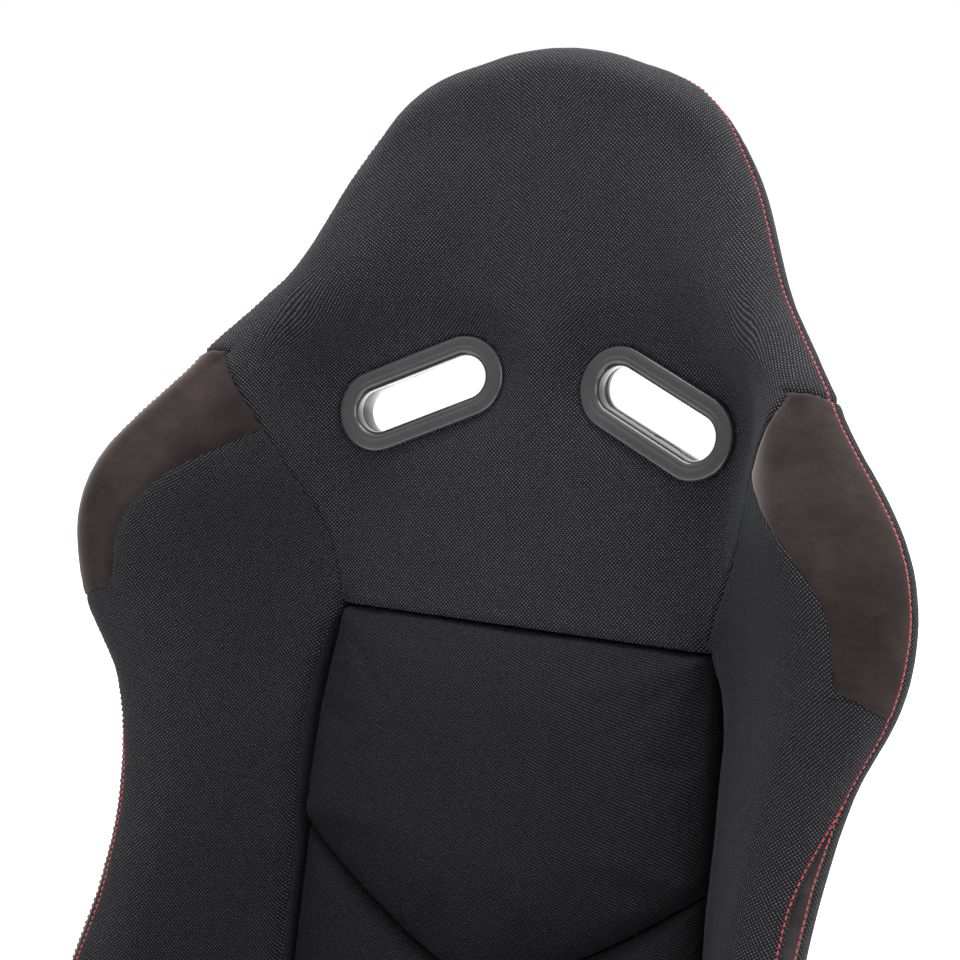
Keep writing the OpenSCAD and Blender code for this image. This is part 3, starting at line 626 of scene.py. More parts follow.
class Mat(Nodes):
    """A material with one principled shader, whose constant values are given by name."""

    def __init__(self, name, **values):
        self.material = bpy.data.materials.new(name)
        self.material.use_nodes = True
        super().__init__(self.material.node_tree)
        self.tree.nodes.clear()
        out, self.shader = self.node("OutputMaterial"), self.node("BsdfPrincipled")
        self.feed(out.inputs[0], self.shader.outputs[0])
        for key, value in values.items():
            self.shader.inputs[key.replace("_", " ")].default_value = value

    def finish(self, colour, roughness, normal):
        """Feeds the shader its colour, roughness and normal, and gives the material."""
        for name, value in (("Base Color", colour), ("Roughness", roughness), ("Normal", normal)):
            self.feed(self.shader.inputs[name], value)
        return self.material


def rgb(r, g, b):
    """A linear colour from 0-255 screen values."""
    f = [x / 255 for x in (r, g, b)]
    return tuple(x / 12.92 if x < 0.04045 else ((x + 0.055) / 1.055) ** 2.4 for x in f) + (1.0,)


def shade(colour, times):
    return tuple(c * times for c in colour[:3]) + (1,)


def weave(name, low, mid, high, pitch, turn, bump, sheen):
    """Basket weave: threads over and under each other, with the odd lighter thread crossing."""
    m = Mat(name, Roughness=0.86, Specular_IOR_Level=0.14, Sheen_Weight=sheen, Sheen_Roughness=0.42,
            Sheen_Tint=(0.85, 0.88, 1.0, 1))
    uv = m.cloth()
    threads = m.node("SeparateXYZ", [m.stretched(uv, (1000 / pitch,) * 3, math.radians(turn))]).outputs
    x, y = m.times_plus(m.noise(uv, 90.0, 1.0), 0.6, threads[0]), threads[1]
    cell = m.times(*(m.math("SINE", m.times(a, math.pi)) for a in (x, y)))
    over = m.math("POWER", m.math("ABSOLUTE", cell), 0.55)
    fibre_x, fibre_y = (m.math("SINE", m.times(a, 6 * math.pi)) for a in (x, y))
    which = m.spread(cell, -0.15, 0.15)
    fibre = m.math("ADD", m.times(which, fibre_x), m.times(m.math("SUBTRACT", 1.0, which), fibre_y))
    height = m.times_plus(fibre, 0.10, m.times_plus(which, 0.25, over))
    speck = m.noise(uv, 900.0, 2.0, 0.7)
    dot = m.times(m.spread(cell, 0.12, 0.62), m.spread(speck, 0.28, 0.66))
    colour = m.mix(dot, m.mix(m.spread(over, 0.15, 0.95), low, mid), high)
    colour = m.mix(m.times(m.spread(m.noise(uv, 22.0, 3.0), 0.3, 0.75), 0.12), colour, low)
    return m.finish(colour, m.times_plus(speck, 0.16, 0.76), m.bump(height, bump * MM))


def suede(name, low, high):
    """Short brushed nap with soft clouds."""
    m = Mat(name, Roughness=0.9, Specular_IOR_Level=0.15, Sheen_Weight=0.3, Sheen_Roughness=0.4,
            Sheen_Tint=(1.0, 0.88, 0.84, 1))
    uv = m.cloth()
    cloud = m.noise(uv, 26.0, 4.0, 0.62)
    nap = m.noise(uv, 420.0, 3.0, 0.65)
    brushed = m.noise(m.stretched(uv, (55.0, 190.0, 1.0), 0.6), 1.0, 3.0)
    tone = m.math("ADD", m.times(cloud, 0.78), m.times(brushed, 0.22))
    colour = m.mix(m.spread(tone, 0.35, 0.66), low, high)
    colour = m.mix(m.times(m.spread(nap, 0.35, 0.7), 0.35), colour, low)
    relief = m.bump(nap, 0.12 * MM, 0.8, m.bump(cloud, 0.35 * MM))
    return m.finish(colour, m.times_plus(nap, 0.15, 0.8), relief)


def leather(name, low, high, scale=420.0, bump=0.16):
    """Grained vinyl: small cells with painted shade in the creases between them."""
    m = Mat(name, Roughness=0.5, Specular_IOR_Level=0.45)
    uv = m.cloth()
    inputs = {"Vector": uv, "Scale": scale, "Randomness": 1.0}
    cells = m.node("TexVoronoi", inputs, feature="DISTANCE_TO_EDGE")
    crease_depth_and_shade = m.spread(cells.outputs["Distance"], 0.0, 0.16)
    cloud = m.noise(uv, 30.0, 4.0)
    # painted shade: the colour darkens to the low tone in the creases between the cells; the same mask also
    # gives the bump its real creases
    colour = m.mix(crease_depth_and_shade, low, m.mix(m.spread(cloud, 0.3, 0.7), low, high))
    height = m.times_plus(m.noise(uv, scale * 3, 2.0), 0.25, crease_depth_and_shade)
    return m.finish(colour, m.times_plus(cloud, 0.2, 0.38), m.bump(height, bump * MM))


def satin_plastic(name, colour, grain, rough, scale=900.0, **more):
    m = Mat(name, Roughness=rough, Specular_IOR_Level=0.5, **more)
    where = m.place()
    cloud = m.noise(where, 35.0, 3.0)
    scuff = m.spread(m.noise(m.stretched(where, (60, 900, 300)), 1.0, 4.0, 0.7), 0.45, 0.8)
    roughness = m.times_plus(scuff, 0.14, m.times_plus(cloud, 0.1, rough - 0.05))
    return m.finish(m.mix(m.spread(cloud, 0.3, 0.7), shade(colour, 0.72), colour), roughness,
                    m.bump(m.noise(where, scale, 3.0, 0.6), grain * MM))


def powder(name, colour, bare=(0.11, 0.11, 0.115, 1)):
    """Powder coat with a little dust, worn towards bare metal on its edges."""
    m = Mat(name, Roughness=0.45, Specular_IOR_Level=0.5)
    where = m.place()
    peel = m.noise(where, 260.0, 2.0)
    dust = m.times(m.spread(m.noise(where, 14.0, 4.0), 0.45, 0.8), 0.5)
    edges = m.spread(m.node("NewGeometry").outputs["Pointiness"], 0.53, 0.60)
    wear = m.times(edges, m.spread(m.noise(where, 160.0, 3.0), 0.4, 0.6))
    colour = m.mix(wear, m.mix(dust, colour, shade(colour, 1.7)), bare)
    return m.finish(colour, m.times_plus(peel, 0.2, 0.32), m.bump(peel, 0.12 * MM))


def zinc(name, tint):
    """Zinc plate with a faint spangle and fine scratches."""
    m = Mat(name, Metallic=1.0, Roughness=0.38)
    where = m.place()
    spangle = m.node("TexVoronoi", {"Vector": where, "Scale": 180.0}).outputs["Color"]
    grey = m.node("SeparateColor", [spangle]).outputs[0]
    scratch = m.noise(m.stretched(where, (30, 1400, 700)), 1.0, 3.0)
    colour = m.mix(m.times_plus(grey, 0.5, m.times(scratch, 0.4)), shade(tint, 0.62), tint)
    roughness = m.times_plus(grey, 0.14, m.times_plus(scratch, 0.16, 0.24))
    return m.finish(colour, roughness, m.bump(scratch, 0.04 * MM))


def thread(name, colour):
    m = Mat(name, Roughness=0.55, Sheen_Weight=0.3)
    inputs = {"Vector": m.place(), "Scale": 900.0, "Distortion": 1.0}
    twist = m.node("TexWave", inputs, bands_direction="DIAGONAL").outputs["Fac"]
    return m.finish(m.mix(twist, shade(colour, 0.45), colour), None, m.bump(twist, 0.05 * MM))


HEAD_CLOTH = weave("head_weave", rgb(9, 9, 11), rgb(25, 25, 27), rgb(106, 106, 111), 1.3, -4, 0.3, 0.07)
SIDE_CLOTH = weave("bolster_weave", rgb(9, 9, 10), rgb(24, 24, 26), rgb(96, 96, 100), 1.25, 3, 0.26, 0.045)
PAD_CLOTH = weave("cushion_weave", rgb(8, 8, 9), rgb(19, 19, 21), rgb(78, 78, 82), 1.2, -18, 0.2, 0.035)
SUEDE = suede("shoulder_suede", rgb(28, 22, 21), rgb(51, 43, 41))
SMOOTH = suede("gusset_cloth", rgb(26, 25, 26), rgb(52, 49, 50))
VINYL = leather("rear_vinyl", rgb(18, 18, 19), rgb(42, 42, 44))
RED = thread("red_thread", (0.62, 0.025, 0.03, 1))
BEZEL = satin_plastic("bezel_plastic", rgb(55, 55, 57), 0.02, 0.25, Coat_Weight=0.75, Coat_Roughness=0.2)
SHIELD = satin_plastic("shield_plastic", rgb(38, 38, 40), 0.14, 0.5, 420.0)
GLIDE = satin_plastic("glide_plastic", rgb(225, 222, 212), 0.02, 0.4)
POWDER = powder("powder_coat", (0.018, 0.018, 0.02, 1))
ZINC = zinc("zinc_plate", (0.50, 0.50, 0.48, 1))
SPRING = zinc("spring_wire", (0.33, 0.33, 0.34, 1))

# ---------------------------------------------------------------- backrest panels
head_rows = np.concatenate([
    rows_at((354, 362, 1), (362, 366, 2), (366, 500, 6), (500, SEAM_END_V, 1.5)),
    S_SEAM + (TOP - S_SEAM) * np.array([0.003, 0.007, 0.013, 0.022, 0.035, *np.linspace(0.05, 1, 64)])])
top_rows = head_rows[head_rows >= S_SEAM - 1e-9]
low_rows = rows_at((-20, -12, 1.5), (-12, 208, 6), (208, 330, 5), (330, 341, 2), (341, 360, 0.5),
                   (360, 455, 5), (455, 464, 1))
suede_rows = rows_at((343, 360, 0.5), (360, 500, 5), (500, SEAM_END_V, 1.2))
all_rows = rows_at((-20, -12, 1.5), (-12, 500, 6), (500, SEAM_END_V, 1.5))
gusset_rows = rows_at((-20, -12, 1.5), (-12, 290, 6), (290, 302, 2))


def head_panels():
    """The head and shoulder panel, and the head's side panel."""
    front = grid_part(head_rows, columns(head_rows, 0, t_seam(head_rows), 170, 5), "low")
    roll = grid_part(top_rows, columns(top_rows, 1, 2, 26, 4))
    side = grid_part(top_rows, columns(top_rows, 2, 3, 80, 7))
    return (panel("head_panel", [front, roll], 1, HEAD_CLOTH, both=True, holes=True),
            panel("head_side_panel", [side], 1, SIDE_CLOTH, both=True))


def bolster_panels(side, word):
    """The sewn panels of a back bolster: front, shoulder patch, gusset and side."""
    front = columns(low_rows, t_seam(low_rows), t_out(low_rows), 90, 5, cap=0.90)
    made = [panel(f"bolster_front_{word}", [grid_part(low_rows, front, "inner")], side, SIDE_CLOTH)]
    for name, rows, place, cloth, thick in (
            ("shoulder_patch", suede_rows, (t_out(suede_rows), 2, 60, 5), SUEDE, 4),
            ("gusset", gusset_rows, (t_out(gusset_rows), 2.001, 20, 4), SMOOTH, 3),
            ("bolster_side", all_rows, (2, 3, 120, 7), SIDE_CLOTH, 5)):
        made.append(panel(f"{name}_{word}", [grid_part(rows, columns(rows, *place))], side, cloth, thick))
    return made


def bolster_base(side, word):
    """Closes the lower end of a bolster: a lid with a flat back, just inside the panels."""
    t = np.concatenate([np.linspace(float(t_seam(S_BOTTOM)), 1, 24), np.linspace(1, 3, 40)[1:]])
    ring = line_on(S_BOTTOM, t) - surf_normal(S_BOTTOM, t) * 2.5
    inner_w = np.linspace(rear_w(BOTTOM_V) + 1, ring[0, 2], 8)[:-1]
    ring = np.vstack([ring, [[ring[0, 0], BOTTOM_V, w] for w in inner_w]])
    mid = ring.mean(0)
    f = np.array([1, 0.97, 0.9, 0.75, 0.5, 0.25])
    rows = mid + (ring - mid) * f[:, None, None]
    rows[..., 1] = BOTTOM_V - 3.0 * np.sqrt(1 - f[:, None] ** 6) + 2.5
    m, last = len(ring), (len(f) - 1) * len(ring)
    lid = ring * [1, 0, 1] + [0, BOTTOM_V + 5, 0]
    p = np.vstack([rows.reshape(-1, 3), [[mid[0], BOTTOM_V - 0.5, mid[2]]], lid])
    faces = ring_faces(len(f), m)
    faces += [[last + j, last + (j + 1) % m, last + m] for j in range(m)]
    base = last + m + 1
    faces += [[(j + 1) % m, j, base + j, base + (j + 1) % m] for j in range(m)]
    faces.append([base + j for j in range(m)][::-1])
    if side < 0:
        p, faces = mirrored(p), [f[::-1] for f in faces]
    return new_object(f"bolster_base_{word}", to_world(p), p[:, [0, 2]], faces, SMOOTH)


head, head_side = head_panels()
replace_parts(head, "head_foam", "shoulder_foam_right", "shoulder_foam_left")
for side, word in ((1, "right"), (-1, "left")):
    made = bolster_panels(side, word) + [bolster_base(side, word)]
    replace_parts(made[0], f"back_bolster_{word}")


# ---------------------------------------------------------------- red topstitching
# Spacing, length and radius of the stitches, and their distance from the seam
PITCH, STITCH, STITCH_R, STITCH_IN = 4.0, 3.0, 0.55, 2.6
# Along one stitch: place, height over the cloth and share of the radius
STITCH_SHAPE = np.array([[0, 0.22, 0.5, 0.78, 1.0], [-0.55, 0.05, 0.22, 0.05, -0.55],
                         [0.45, 0.95, 1.0, 0.95, 0.45]])


def stitches(name, lines, material):
    """Rows of short raised threads. Each line gives points and outward normals."""
    points, faces = [], []
    for line, normal in lines:
        run = run_along(line)
        for start in np.arange(1.0, run[-1] - STITCH, PITCH):
            r = start + STITCH_SHAPE[0] * STITCH
            p, n = follow(r, run, line), follow(r, run, normal)
            n /= np.linalg.norm(n, axis=1, keepdims=True)
            ahead = p[-1] - p[0]
            ahead /= np.linalg.norm(ahead)
            base = len(points)
            for q, up, lift, size in zip(p, n, STITCH_SHAPE[1], STITCH_SHAPE[2] * STITCH_R):
                across = np.cross(ahead, up)
                for a in np.arange(6) * math.pi / 3:
                    points.append(q + up * lift + size * (math.cos(a) * across + math.sin(a) * up))
            faces += ring_faces(5, 6, base)
            faces.append([base + j for j in range(5, -1, -1)])
            faces.append([base + 24 + j for j in range(6)])
    return new_object(name, to_world(np.array(points)), None, faces, material)


def beside_seam(s, stop):
    """A line on the finished roll, just inside the seam at place stop, and its normals."""
    t = stop - STITCH_IN / (ROLL * (FRONT_ANGLE - stitch_angle(edge(s)[:, 1], s)))
    p, n = line_on(s, t), surf_normal(s, t)
    return p + n * (TREE.dip(p) + waves(p) + 0.12)[:, None], n


def stitch_rows():
    """One row right over the head, and one beside each gusset."""
    p, n = beside_seam(np.linspace(S_BOTTOM + 0.02, TOP, 900), 2)
    over_head = np.vstack([p, mirrored(p)[::-1]]), np.vstack([n, mirrored(n)[::-1]])
    low = s_at(np.linspace(BOTTOM_V + 4, 292, 300))
    p, n = beside_seam(low, t_out(low))
    return [over_head, (p, n), (mirrored(p), mirrored(n))]


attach(stitches("red_topstitch", stitch_rows(), RED), "backrest")


# ---------------------------------------------------------------- harness bezels
def arc(cr, cy, r, start, stop, n):
    angles = [math.radians(a) for a in np.linspace(start, stop, n)]
    return [(cr + r * math.cos(a), cy + r * math.sin(a)) for a in angles]


# Outlines of the rings as (radius, depth): rim, face, inner edge and sleeve
FRONT_PROFILE = (
    arc(FLANGE_R - 2.3, -2.5, 2.3, 10, -82, 8) + [(24.2, -4.93), (22.6, -5.0), (21.2, -4.93), (20.0, -4.72)]
    + arc(SLOT_R + 4.2, -0.3, 4.3, -80, -180, 14)
    + [(SLOT_R - 0.3, 1.8), (SLOT_R, 4.4), (SLOT_R + 0.3, SLEEVE_END - 0.6), (SLOT_R + 0.8, SLEEVE_END),
       (SLOT_R + 2.2, SLEEVE_END), (SLOT_R + 2.2, 0.8), (FLANGE_R - 0.4, 0.8), (FLANGE_R, 0.2)])
REAR_PROFILE = (
    [(SLOT_R + 3.0, -RECESS_W - 0.1), (SLOT_R + 3.0, -34.0), (SLOT_R + 0.9, -34.0), (SLOT_R + 0.4, -33.0),
     (SLOT_R + 0.8, -28.8), (SLOT_R + 1.0, -27.4)]
    + arc(SLOT_R + 3.4, -26.8, 2.4, 180, 90, 7) + [(21.0, -24.4)] + arc(FLANGE_R - 4.2, -25.6, 1.2, 90, 0, 5)
    + [(FLANGE_R - 3.0, -RECESS_W - 0.1)])


def interlock(x):
    """Over part of the slot's length the front sleeve is 4 mm longer and the rear one shorter."""
    return 4.0 * ease((x - 4.0) / 1.2) * (1 - ease((x - 22.0) / 1.2))


def bezel_ring(kind, profile, side, word):
    """A closed plastic ring round the harness slot, whose sleeve meets the other ring's in a step."""
    rings = []
    for r, y in profile:
        x, z = stadium(28, 22, r).T
        ring = slot_to_back(x, np.full(len(x), float(y)), z, side, kind == "rear")
        if kind == "front" and y >= SLEEVE_END - 0.8:
            ring[:, 2] -= interlock(x)
        elif kind == "rear" and y <= -33:
            reach = np.abs(ring[:, 0]) - SLOT_U - 1.0
            joint = SLOT_W - SLEEVE_END * math.cos(SLOT_TURN) + reach * math.tan(SLOT_TURN)
            ring[:, 2] = joint - 0.45 - interlock(x) - (y + 34) * 0.6
        rings.append(ring)
    faces = ring_faces(len(rings), len(x), wrap=True)
    if side > 0:
        faces = [f[::-1] for f in faces]
    ob = new_object(f"{kind}_bezel_{word}_ring", to_world(np.vstack(rings)), None, faces, BEZEL)
    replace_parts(ob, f"{kind}_bezel_{word}")


for side, word in ((1, "right"), (-1, "left")):
    bezel_ring("front", FRONT_PROFILE, side, word)
    bezel_ring("rear", REAR_PROFILE, side, word)


# ---------------------------------------------------------------- rear cover
# Corners of the tray behind the slots as (place up its side, half width, v): its floor and its mouth
TRAY_FLOOR = np.array([[0.0, 141, 453], [0.45, 151, 496], [1.0, 108, 549]])
TRAY_MOUTH = np.array([[0.0, 152, 437], [0.45, 168, 506], [1.0, 124, 571]])
TRAY_DEEP, TRAY_BACK, COVER_W = 27.0, -12.0, -4.8
# Where the tray's wall passes the cover, on its way from the floor (0) to the mouth (1)
Q_TOP = (TRAY_DEEP - COVER_W + 0.7) / (TRAY_DEEP - TRAY_BACK)


def tray_point(a, b, q):
    """A place in the tray: a across and b up it, q from its floor (0) out to its mouth (1)."""
    floor, mouth = (np.stack([a * np.interp(b, height, half), np.interp(b, height, v)], -1)
                    for height, half, v in (TRAY_FLOOR.T, TRAY_MOUTH.T))
    uv = floor + (mouth - floor) * q[..., None]
    return np.concatenate([uv, (TRAY_DEEP + (TRAY_BACK - TRAY_DEEP) * q)[..., None]], -1)


def slot_tray():
    """The moulded tray in the rear cover, with the rear ends of both harness slots in its floor."""
    wall = np.array([0.03, 0.08, 0.16, 0.3, 0.5, 0.68, 0.78, 0.82, Q_TOP])
    outer = np.concatenate([wall, Q_TOP + np.array([0.02, 0.06, 0.15, 0.28, 0.36, 0.38])])
    n = len(outer)

    def line(start, inside, stop):
        """Places across or up the tray with its walls, and how far up the walls each is."""
        return (np.concatenate([np.full(n, start), inside, np.full(n, stop)]),
                np.concatenate([outer[::-1], 0 * inside, outer]))
    a, qa = line(-1.0, np.linspace(-1, 1, 109), 1.0)
    b, qb = line(0.0, np.concatenate([np.linspace(0, 0.45, 17), np.linspace(0.45, 1, 19)[1:]]), 1.0)
    across, up = np.meshgrid(a, b)
    q = np.maximum(*np.meshgrid(qa, qb))
    p = tray_point(across, up, q)
    # past the cover the wall rolls over into a lip
    beyond = np.clip(q - Q_TOP, 0, None)
    lip = COVER_W - 0.9 - 0.5 * np.sin(np.clip(beyond / 0.36, 0, 1) * math.pi)
    p[..., 2] = np.where(q > Q_TOP, lip, p[..., 2])
    p[..., 2] = np.where(beyond > 0.365, COVER_W + 0.8, p[..., 2])
    p[..., 2] -= 0.5 * (1 - ease(q / 0.08))
    flat = p.reshape(-1, 3)
    p, cloth, faces = merge([(flat, flat[:, :2], grid_faces(*q.shape, flip=True))])
    mid = p[faces].mean(1)
    gap = slot_gap(np.abs(mid[:, 0]) - (SLOT_W - TRAY_DEEP) * math.tan(SLOT_TURN),
                   mid[:, 1] - RISE * (SLOT_W + 1 - TRAY_DEEP))
    faces = faces[(gap > SLOT_R + 5.5) | (mid[:, 2] < TRAY_DEEP - 3)]
    p, cloth, faces = kept(faces, p, cloth)
    p, cloth, faces = closed_shell(p, cloth, faces, 1.8)
    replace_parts(new_object("slot_tray_shell", to_world(p), cloth, faces, SHIELD), "slot_tray")


def outside_tray(u, v):
    """Distance outside the tray's mouth, negative within it."""
    across, up = np.array([-1.0, 1, 1, 1, -1, -1]), np.array([0, 0, 0.45, 1, 1, 0.45])
    ring = tray_point(across, up, np.full(6, Q_TOP))
    d = np.full(np.shape(u), -1e9)
    for p, q in zip(ring[:, :2], np.roll(ring[:, :2], -1, axis=0)):
        t = (q - p) / np.linalg.norm(q - p)
        d = np.maximum(d, (u - p[0]) * t[1] - (v - p[1]) * t[0])
    return d


def rear_cover():
    """The vinyl rear cover, with a hole for the tray, two sewn lines and creases at the recliner brackets."""
    last = TOP - 0.8 * (1 - np.linspace(0, 1, 14)[1:]) ** 2
    s = np.concatenate([np.linspace(S_BOTTOM, TOP - 0.8, 190), last])
    s[-1] = TOP - 0.004
    e, out = edge(s), edge_out(s)
    d = ROLL - side_reach(e)
    half, high = e[:, 0] + out[:, 0] * d, e[:, 1] + out[:, 1] * d
    a = np.linspace(-1, 1, 125)
    a = np.sign(a) * (1 - (1 - np.abs(a)) ** 1.25)
    u = half[:, None] * a
    v = high[:, None] + 0 * u
    hollow = 9 * (1 - a ** 2) * (1 - ease((high - 340) / 80))[:, None]
    w = rear_w(high)[:, None] - 3.6 - hollow
    far = outside_tray(u, v)
    soft = waves(np.abs(np.stack([u, v, w], -1))) * 1.3
    near_brackets = np.exp(-((v - 70) / 70) ** 2) * ease((np.abs(u) - 120) / 90)
    soft += 0.5 * np.sin((v + 0.55 * np.abs(u)) / 7.5) * near_brackets
    for line in (408.0, 250.0):
        soft -= 1.5 * np.clip(1 - np.abs(v - line - 10 * (u / 200) ** 2) / 5, 0, 1) ** 2
    tuck = np.clip(1 - (1 - np.abs(a)) * half[:, None] / 6, 0, 1) ** 2
    w = w - soft * 0.8 * ease((far - 4) / 12) + 0.9 * tuck
    p, cloth = np.stack([u, v, w], -1).reshape(-1, 3), np.stack([u, v], -1).reshape(-1, 2)
    faces = grid_faces(*u.shape, flip=True)
    p, cloth, faces = kept(faces[far.ravel()[faces].mean(1) > 3.4], p, cloth)
    p, cloth, faces = closed_shell(p, cloth, faces, 2.0)
    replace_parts(new_object("rear_cover_vinyl", to_world(p), cloth, faces, VINYL), "rear_cover")


def piping(name, path, radius, sides=10):
    """A round cord along a path in backrest millimetres."""
    t = np.gradient(path, axis=0)
    t /= np.linalg.norm(t, axis=1, keepdims=True)
    a = np.cross(t, [0, 0, 1.0])
    a /= np.linalg.norm(a, axis=1, keepdims=True)
    b = np.cross(a, t)
    turns = [math.tau * k / sides for k in range(sides)]
    points = [p + radius * (math.cos(g) * a[i] + math.sin(g) * b[i])
              for i, p in enumerate(path) for g in turns]
    faces = ring_faces(len(path), sides)
    faces += [list(range(sides))[::-1], [len(points) - sides + k for k in range(sides)]]
    return new_object(name, to_world(np.array(points)), None, faces, VINYL)


rear_cover()
slot_tray()
rear_edge = line_on(np.linspace(S_BOTTOM, TOP, 260), 3.0) - [0, 0, 0.6]
piping("rear_piping", np.vstack([rear_edge, mirrored(rear_edge)[::-1][1:]]), 2.3)

# ---------------------------------------------------------------- cushions
# Pads for the cloth simulation, each with its held points, pressure and largest move in millimetres
CLOTHS = []
# Distances from a pad's border of its first rows of points
FINE = np.array([1.2, 3, 5.5, 9])
FABRIC_BACK = 8.0


def vee(u):
    """Height of the V between the back cushion and the lumbar pad."""
    return 118 + 88 * np.minimum(1, np.abs(u) / 149) ** 1.4


def pad_faces(rows, cols):
    """Faces of two grids and the walls between them, and the points of the second grid and the border."""
    m = rows * cols
    rim = [*range(cols - 1)] + [i * cols + cols - 1 for i in range(rows - 1)]
    rim += [(rows - 1) * cols + j for j in range(cols - 1, 0, -1)]
    rim += [i * cols for i in range(rows - 1, 0, -1)]
    grids = np.vstack([grid_faces(rows, cols), grid_faces(rows, cols, m, flip=True)])
    walls = [[b, a, a + m, b + m] for a, b in zip(rim, rim[1:] + rim[:1])]
    return [list(map(int, f)) for f in grids] + walls, [*range(m, 2 * m)] + rim


def pillow(name, half, low, high, rim_w, top_w, top_mm=15.0, crown=4.0, round_mm=15.0, corner_r=8.0):
    """A crowned pad of the backrest: a front face over rounded edges, and a flat back."""
    x = np.concatenate([[-1], -1 + FINE / 150, np.linspace(-0.9, 0.9, 51), 1 - FINE[::-1] / 150, [1]])
    y = np.concatenate([[0], FINE / 220, np.linspace(0.07, 0.93, 37), 1 - FINE[::-1] / 220, [1]])
    a, f = np.meshgrid(x, y)
    wide = half(f)
    u = a * wide
    tall = high(u) - low(u)
    v = low(u) + tall * f
    # height over the rim by distance from the border, with corners rounded in plan
    side, end = (1 - np.abs(a)) * wide, np.minimum(f * tall, (1 - f) * tall * round_mm / top_mm)
    corner = np.hypot(np.maximum(corner_r - side, 0), np.maximum(corner_r - end, 0))
    inside = np.where((side < corner_r) & (end < corner_r), corner_r - corner, np.minimum(side, end))
    rise = np.sqrt(np.clip(1 - (1 - np.clip(inside / round_mm, 0, 1)) ** 2, 0, 1))
    w = rim_w + (top_w - rim_w) * rise + crown * (1 - a ** 2) ** 0.8 * (1 - (2 * f - 1) ** 4)
    front = np.stack([u, v, w], -1)
    rear = np.stack([u, v, FABRIC_BACK + 0 * w], -1)
    # cloth coordinates by length along the surface, counted from the middle
    rows, cols = u.shape
    across, up = (np.linalg.norm(np.diff(front, axis=axis), axis=2) for axis in (1, 0))
    across = np.hstack([np.zeros((rows, 1)), np.cumsum(across, axis=1)])
    up = np.vstack([np.zeros((1, cols)), np.cumsum(up, axis=0)])
    cloth = np.stack([across - across[:, [cols // 2]], up - up[rows // 2]], -1).reshape(-1, 2)
    faces, held = pad_faces(rows, cols)
    points = np.vstack([front.reshape(-1, 3), rear.reshape(-1, 3)])
    ob = new_object(name, to_world(points), np.vstack([cloth, cloth]), faces, PAD_CLOTH)
    CLOTHS.append((ob, held, 3.0, 7.0))
    return ob


cushion = pillow("back_cushion_pad", lambda f: 148.0 - 12.5 * f + 2.5 * np.sin(math.pi * f),
                 lambda u: vee(u) + 0.5, lambda u: CUSHION_V - 1.2 + 0 * u, 24.0, 44.0, top_mm=9.0)
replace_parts(cushion, "back_cushion")
lumbar = pillow("lumbar_cushion_pad", lambda f: 147.0 + 0 * f,
                lambda u: BOTTOM_V + 0 * u, lambda u: vee(u) - 0.5, 18.0, 34.0)
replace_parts(lumbar, "lumbar_pad")

# Heights z against y, in world millimetres, and the height of the pads' base over the floor
SEAT_TOP = [[-300, 150], [-286, 184], [-262, 203], [-225, 211], [-150, 206], [-60, 190], [40, 172],
            [100, 166], [138, 160]]
THIGH_TOP = [[-296, 150], [-280, 190], [-250, 224], [-200, 252], [-140, 266], [-80, 262], [-20, 240],
             [16, 216]]
SEAT_HALF, SEAT_BASE = 150.5, 95.4
# The front cross tube passes under the pads in front of this y
TUBE_Y = -262
seat_z, thigh_z = table(SEAT_TOP, 9, -420), table(THIGH_TOP, 9, -420)


def seat_pad():
    """The seat cushion: a crowned top with three sewn channels, a rolled front and a flat base."""
    x = np.concatenate([[-1, -0.99, -0.975, -0.95], np.linspace(-0.92, 0.92, 45), [0.95, 0.975, 0.99, 1]])
    ys = np.concatenate([[-299, -298, -296, -293], np.arange(-289, 132, 7.0), [134, 136, 137.5]])
    a, y = np.meshgrid(x, ys)
    side = np.abs(a)
    z = seat_z(y) - 9 * side ** 6 - 9 * np.clip((side - 0.9) / 0.1, 0, 1) ** 2 + 3 * (1 - a ** 2)
    for line in (-238.0, -120.0, 20.0):
        z -= 2.4 * np.clip(1 - np.abs(y - line - 12 * a ** 2) / 7, 0, 1) ** 2
    z -= 2.2 * np.clip(1 - np.abs(side - 0.62) / 0.045, 0, 1) ** 2 * ease((y + 250) / 20)
    low_z = np.where(y < TUBE_Y, 108 + 20 * np.clip((-285 - y) / 14, 0, 1), SEAT_BASE)
    points = np.vstack([np.stack([a * SEAT_HALF, y, h], -1).reshape(-1, 3) for h in (z, low_z)])
    # the cloth runs along the top, and on down the walls
    run = run_along(np.stack([ys, seat_z(ys)], -1))[:, None]
    wall = z - low_z
    end = np.zeros((len(ys), 1))
    end[0], end[-1] = -1, 1
    top = np.stack([a * 150, run + 0 * a], -1)
    low = np.stack([a * 150 + wall * (side > 0.999) * np.sign(a), run + wall * end], -1)
    faces, held = pad_faces(*a.shape)
    cloth = np.vstack([top.reshape(-1, 2), low.reshape(-1, 2)])
    ob = new_object("seat_cushion_pad", points, cloth, faces, PAD_CLOTH, "seat_base")
    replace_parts(ob, "seat_cushion")
    CLOTHS.append((ob, held, 3.0, 6.0))
    return ob


# Points round a thigh bolster's section, and the one at its topstitching
THIGH_POINTS, THIGH_SEAM = 56, 38


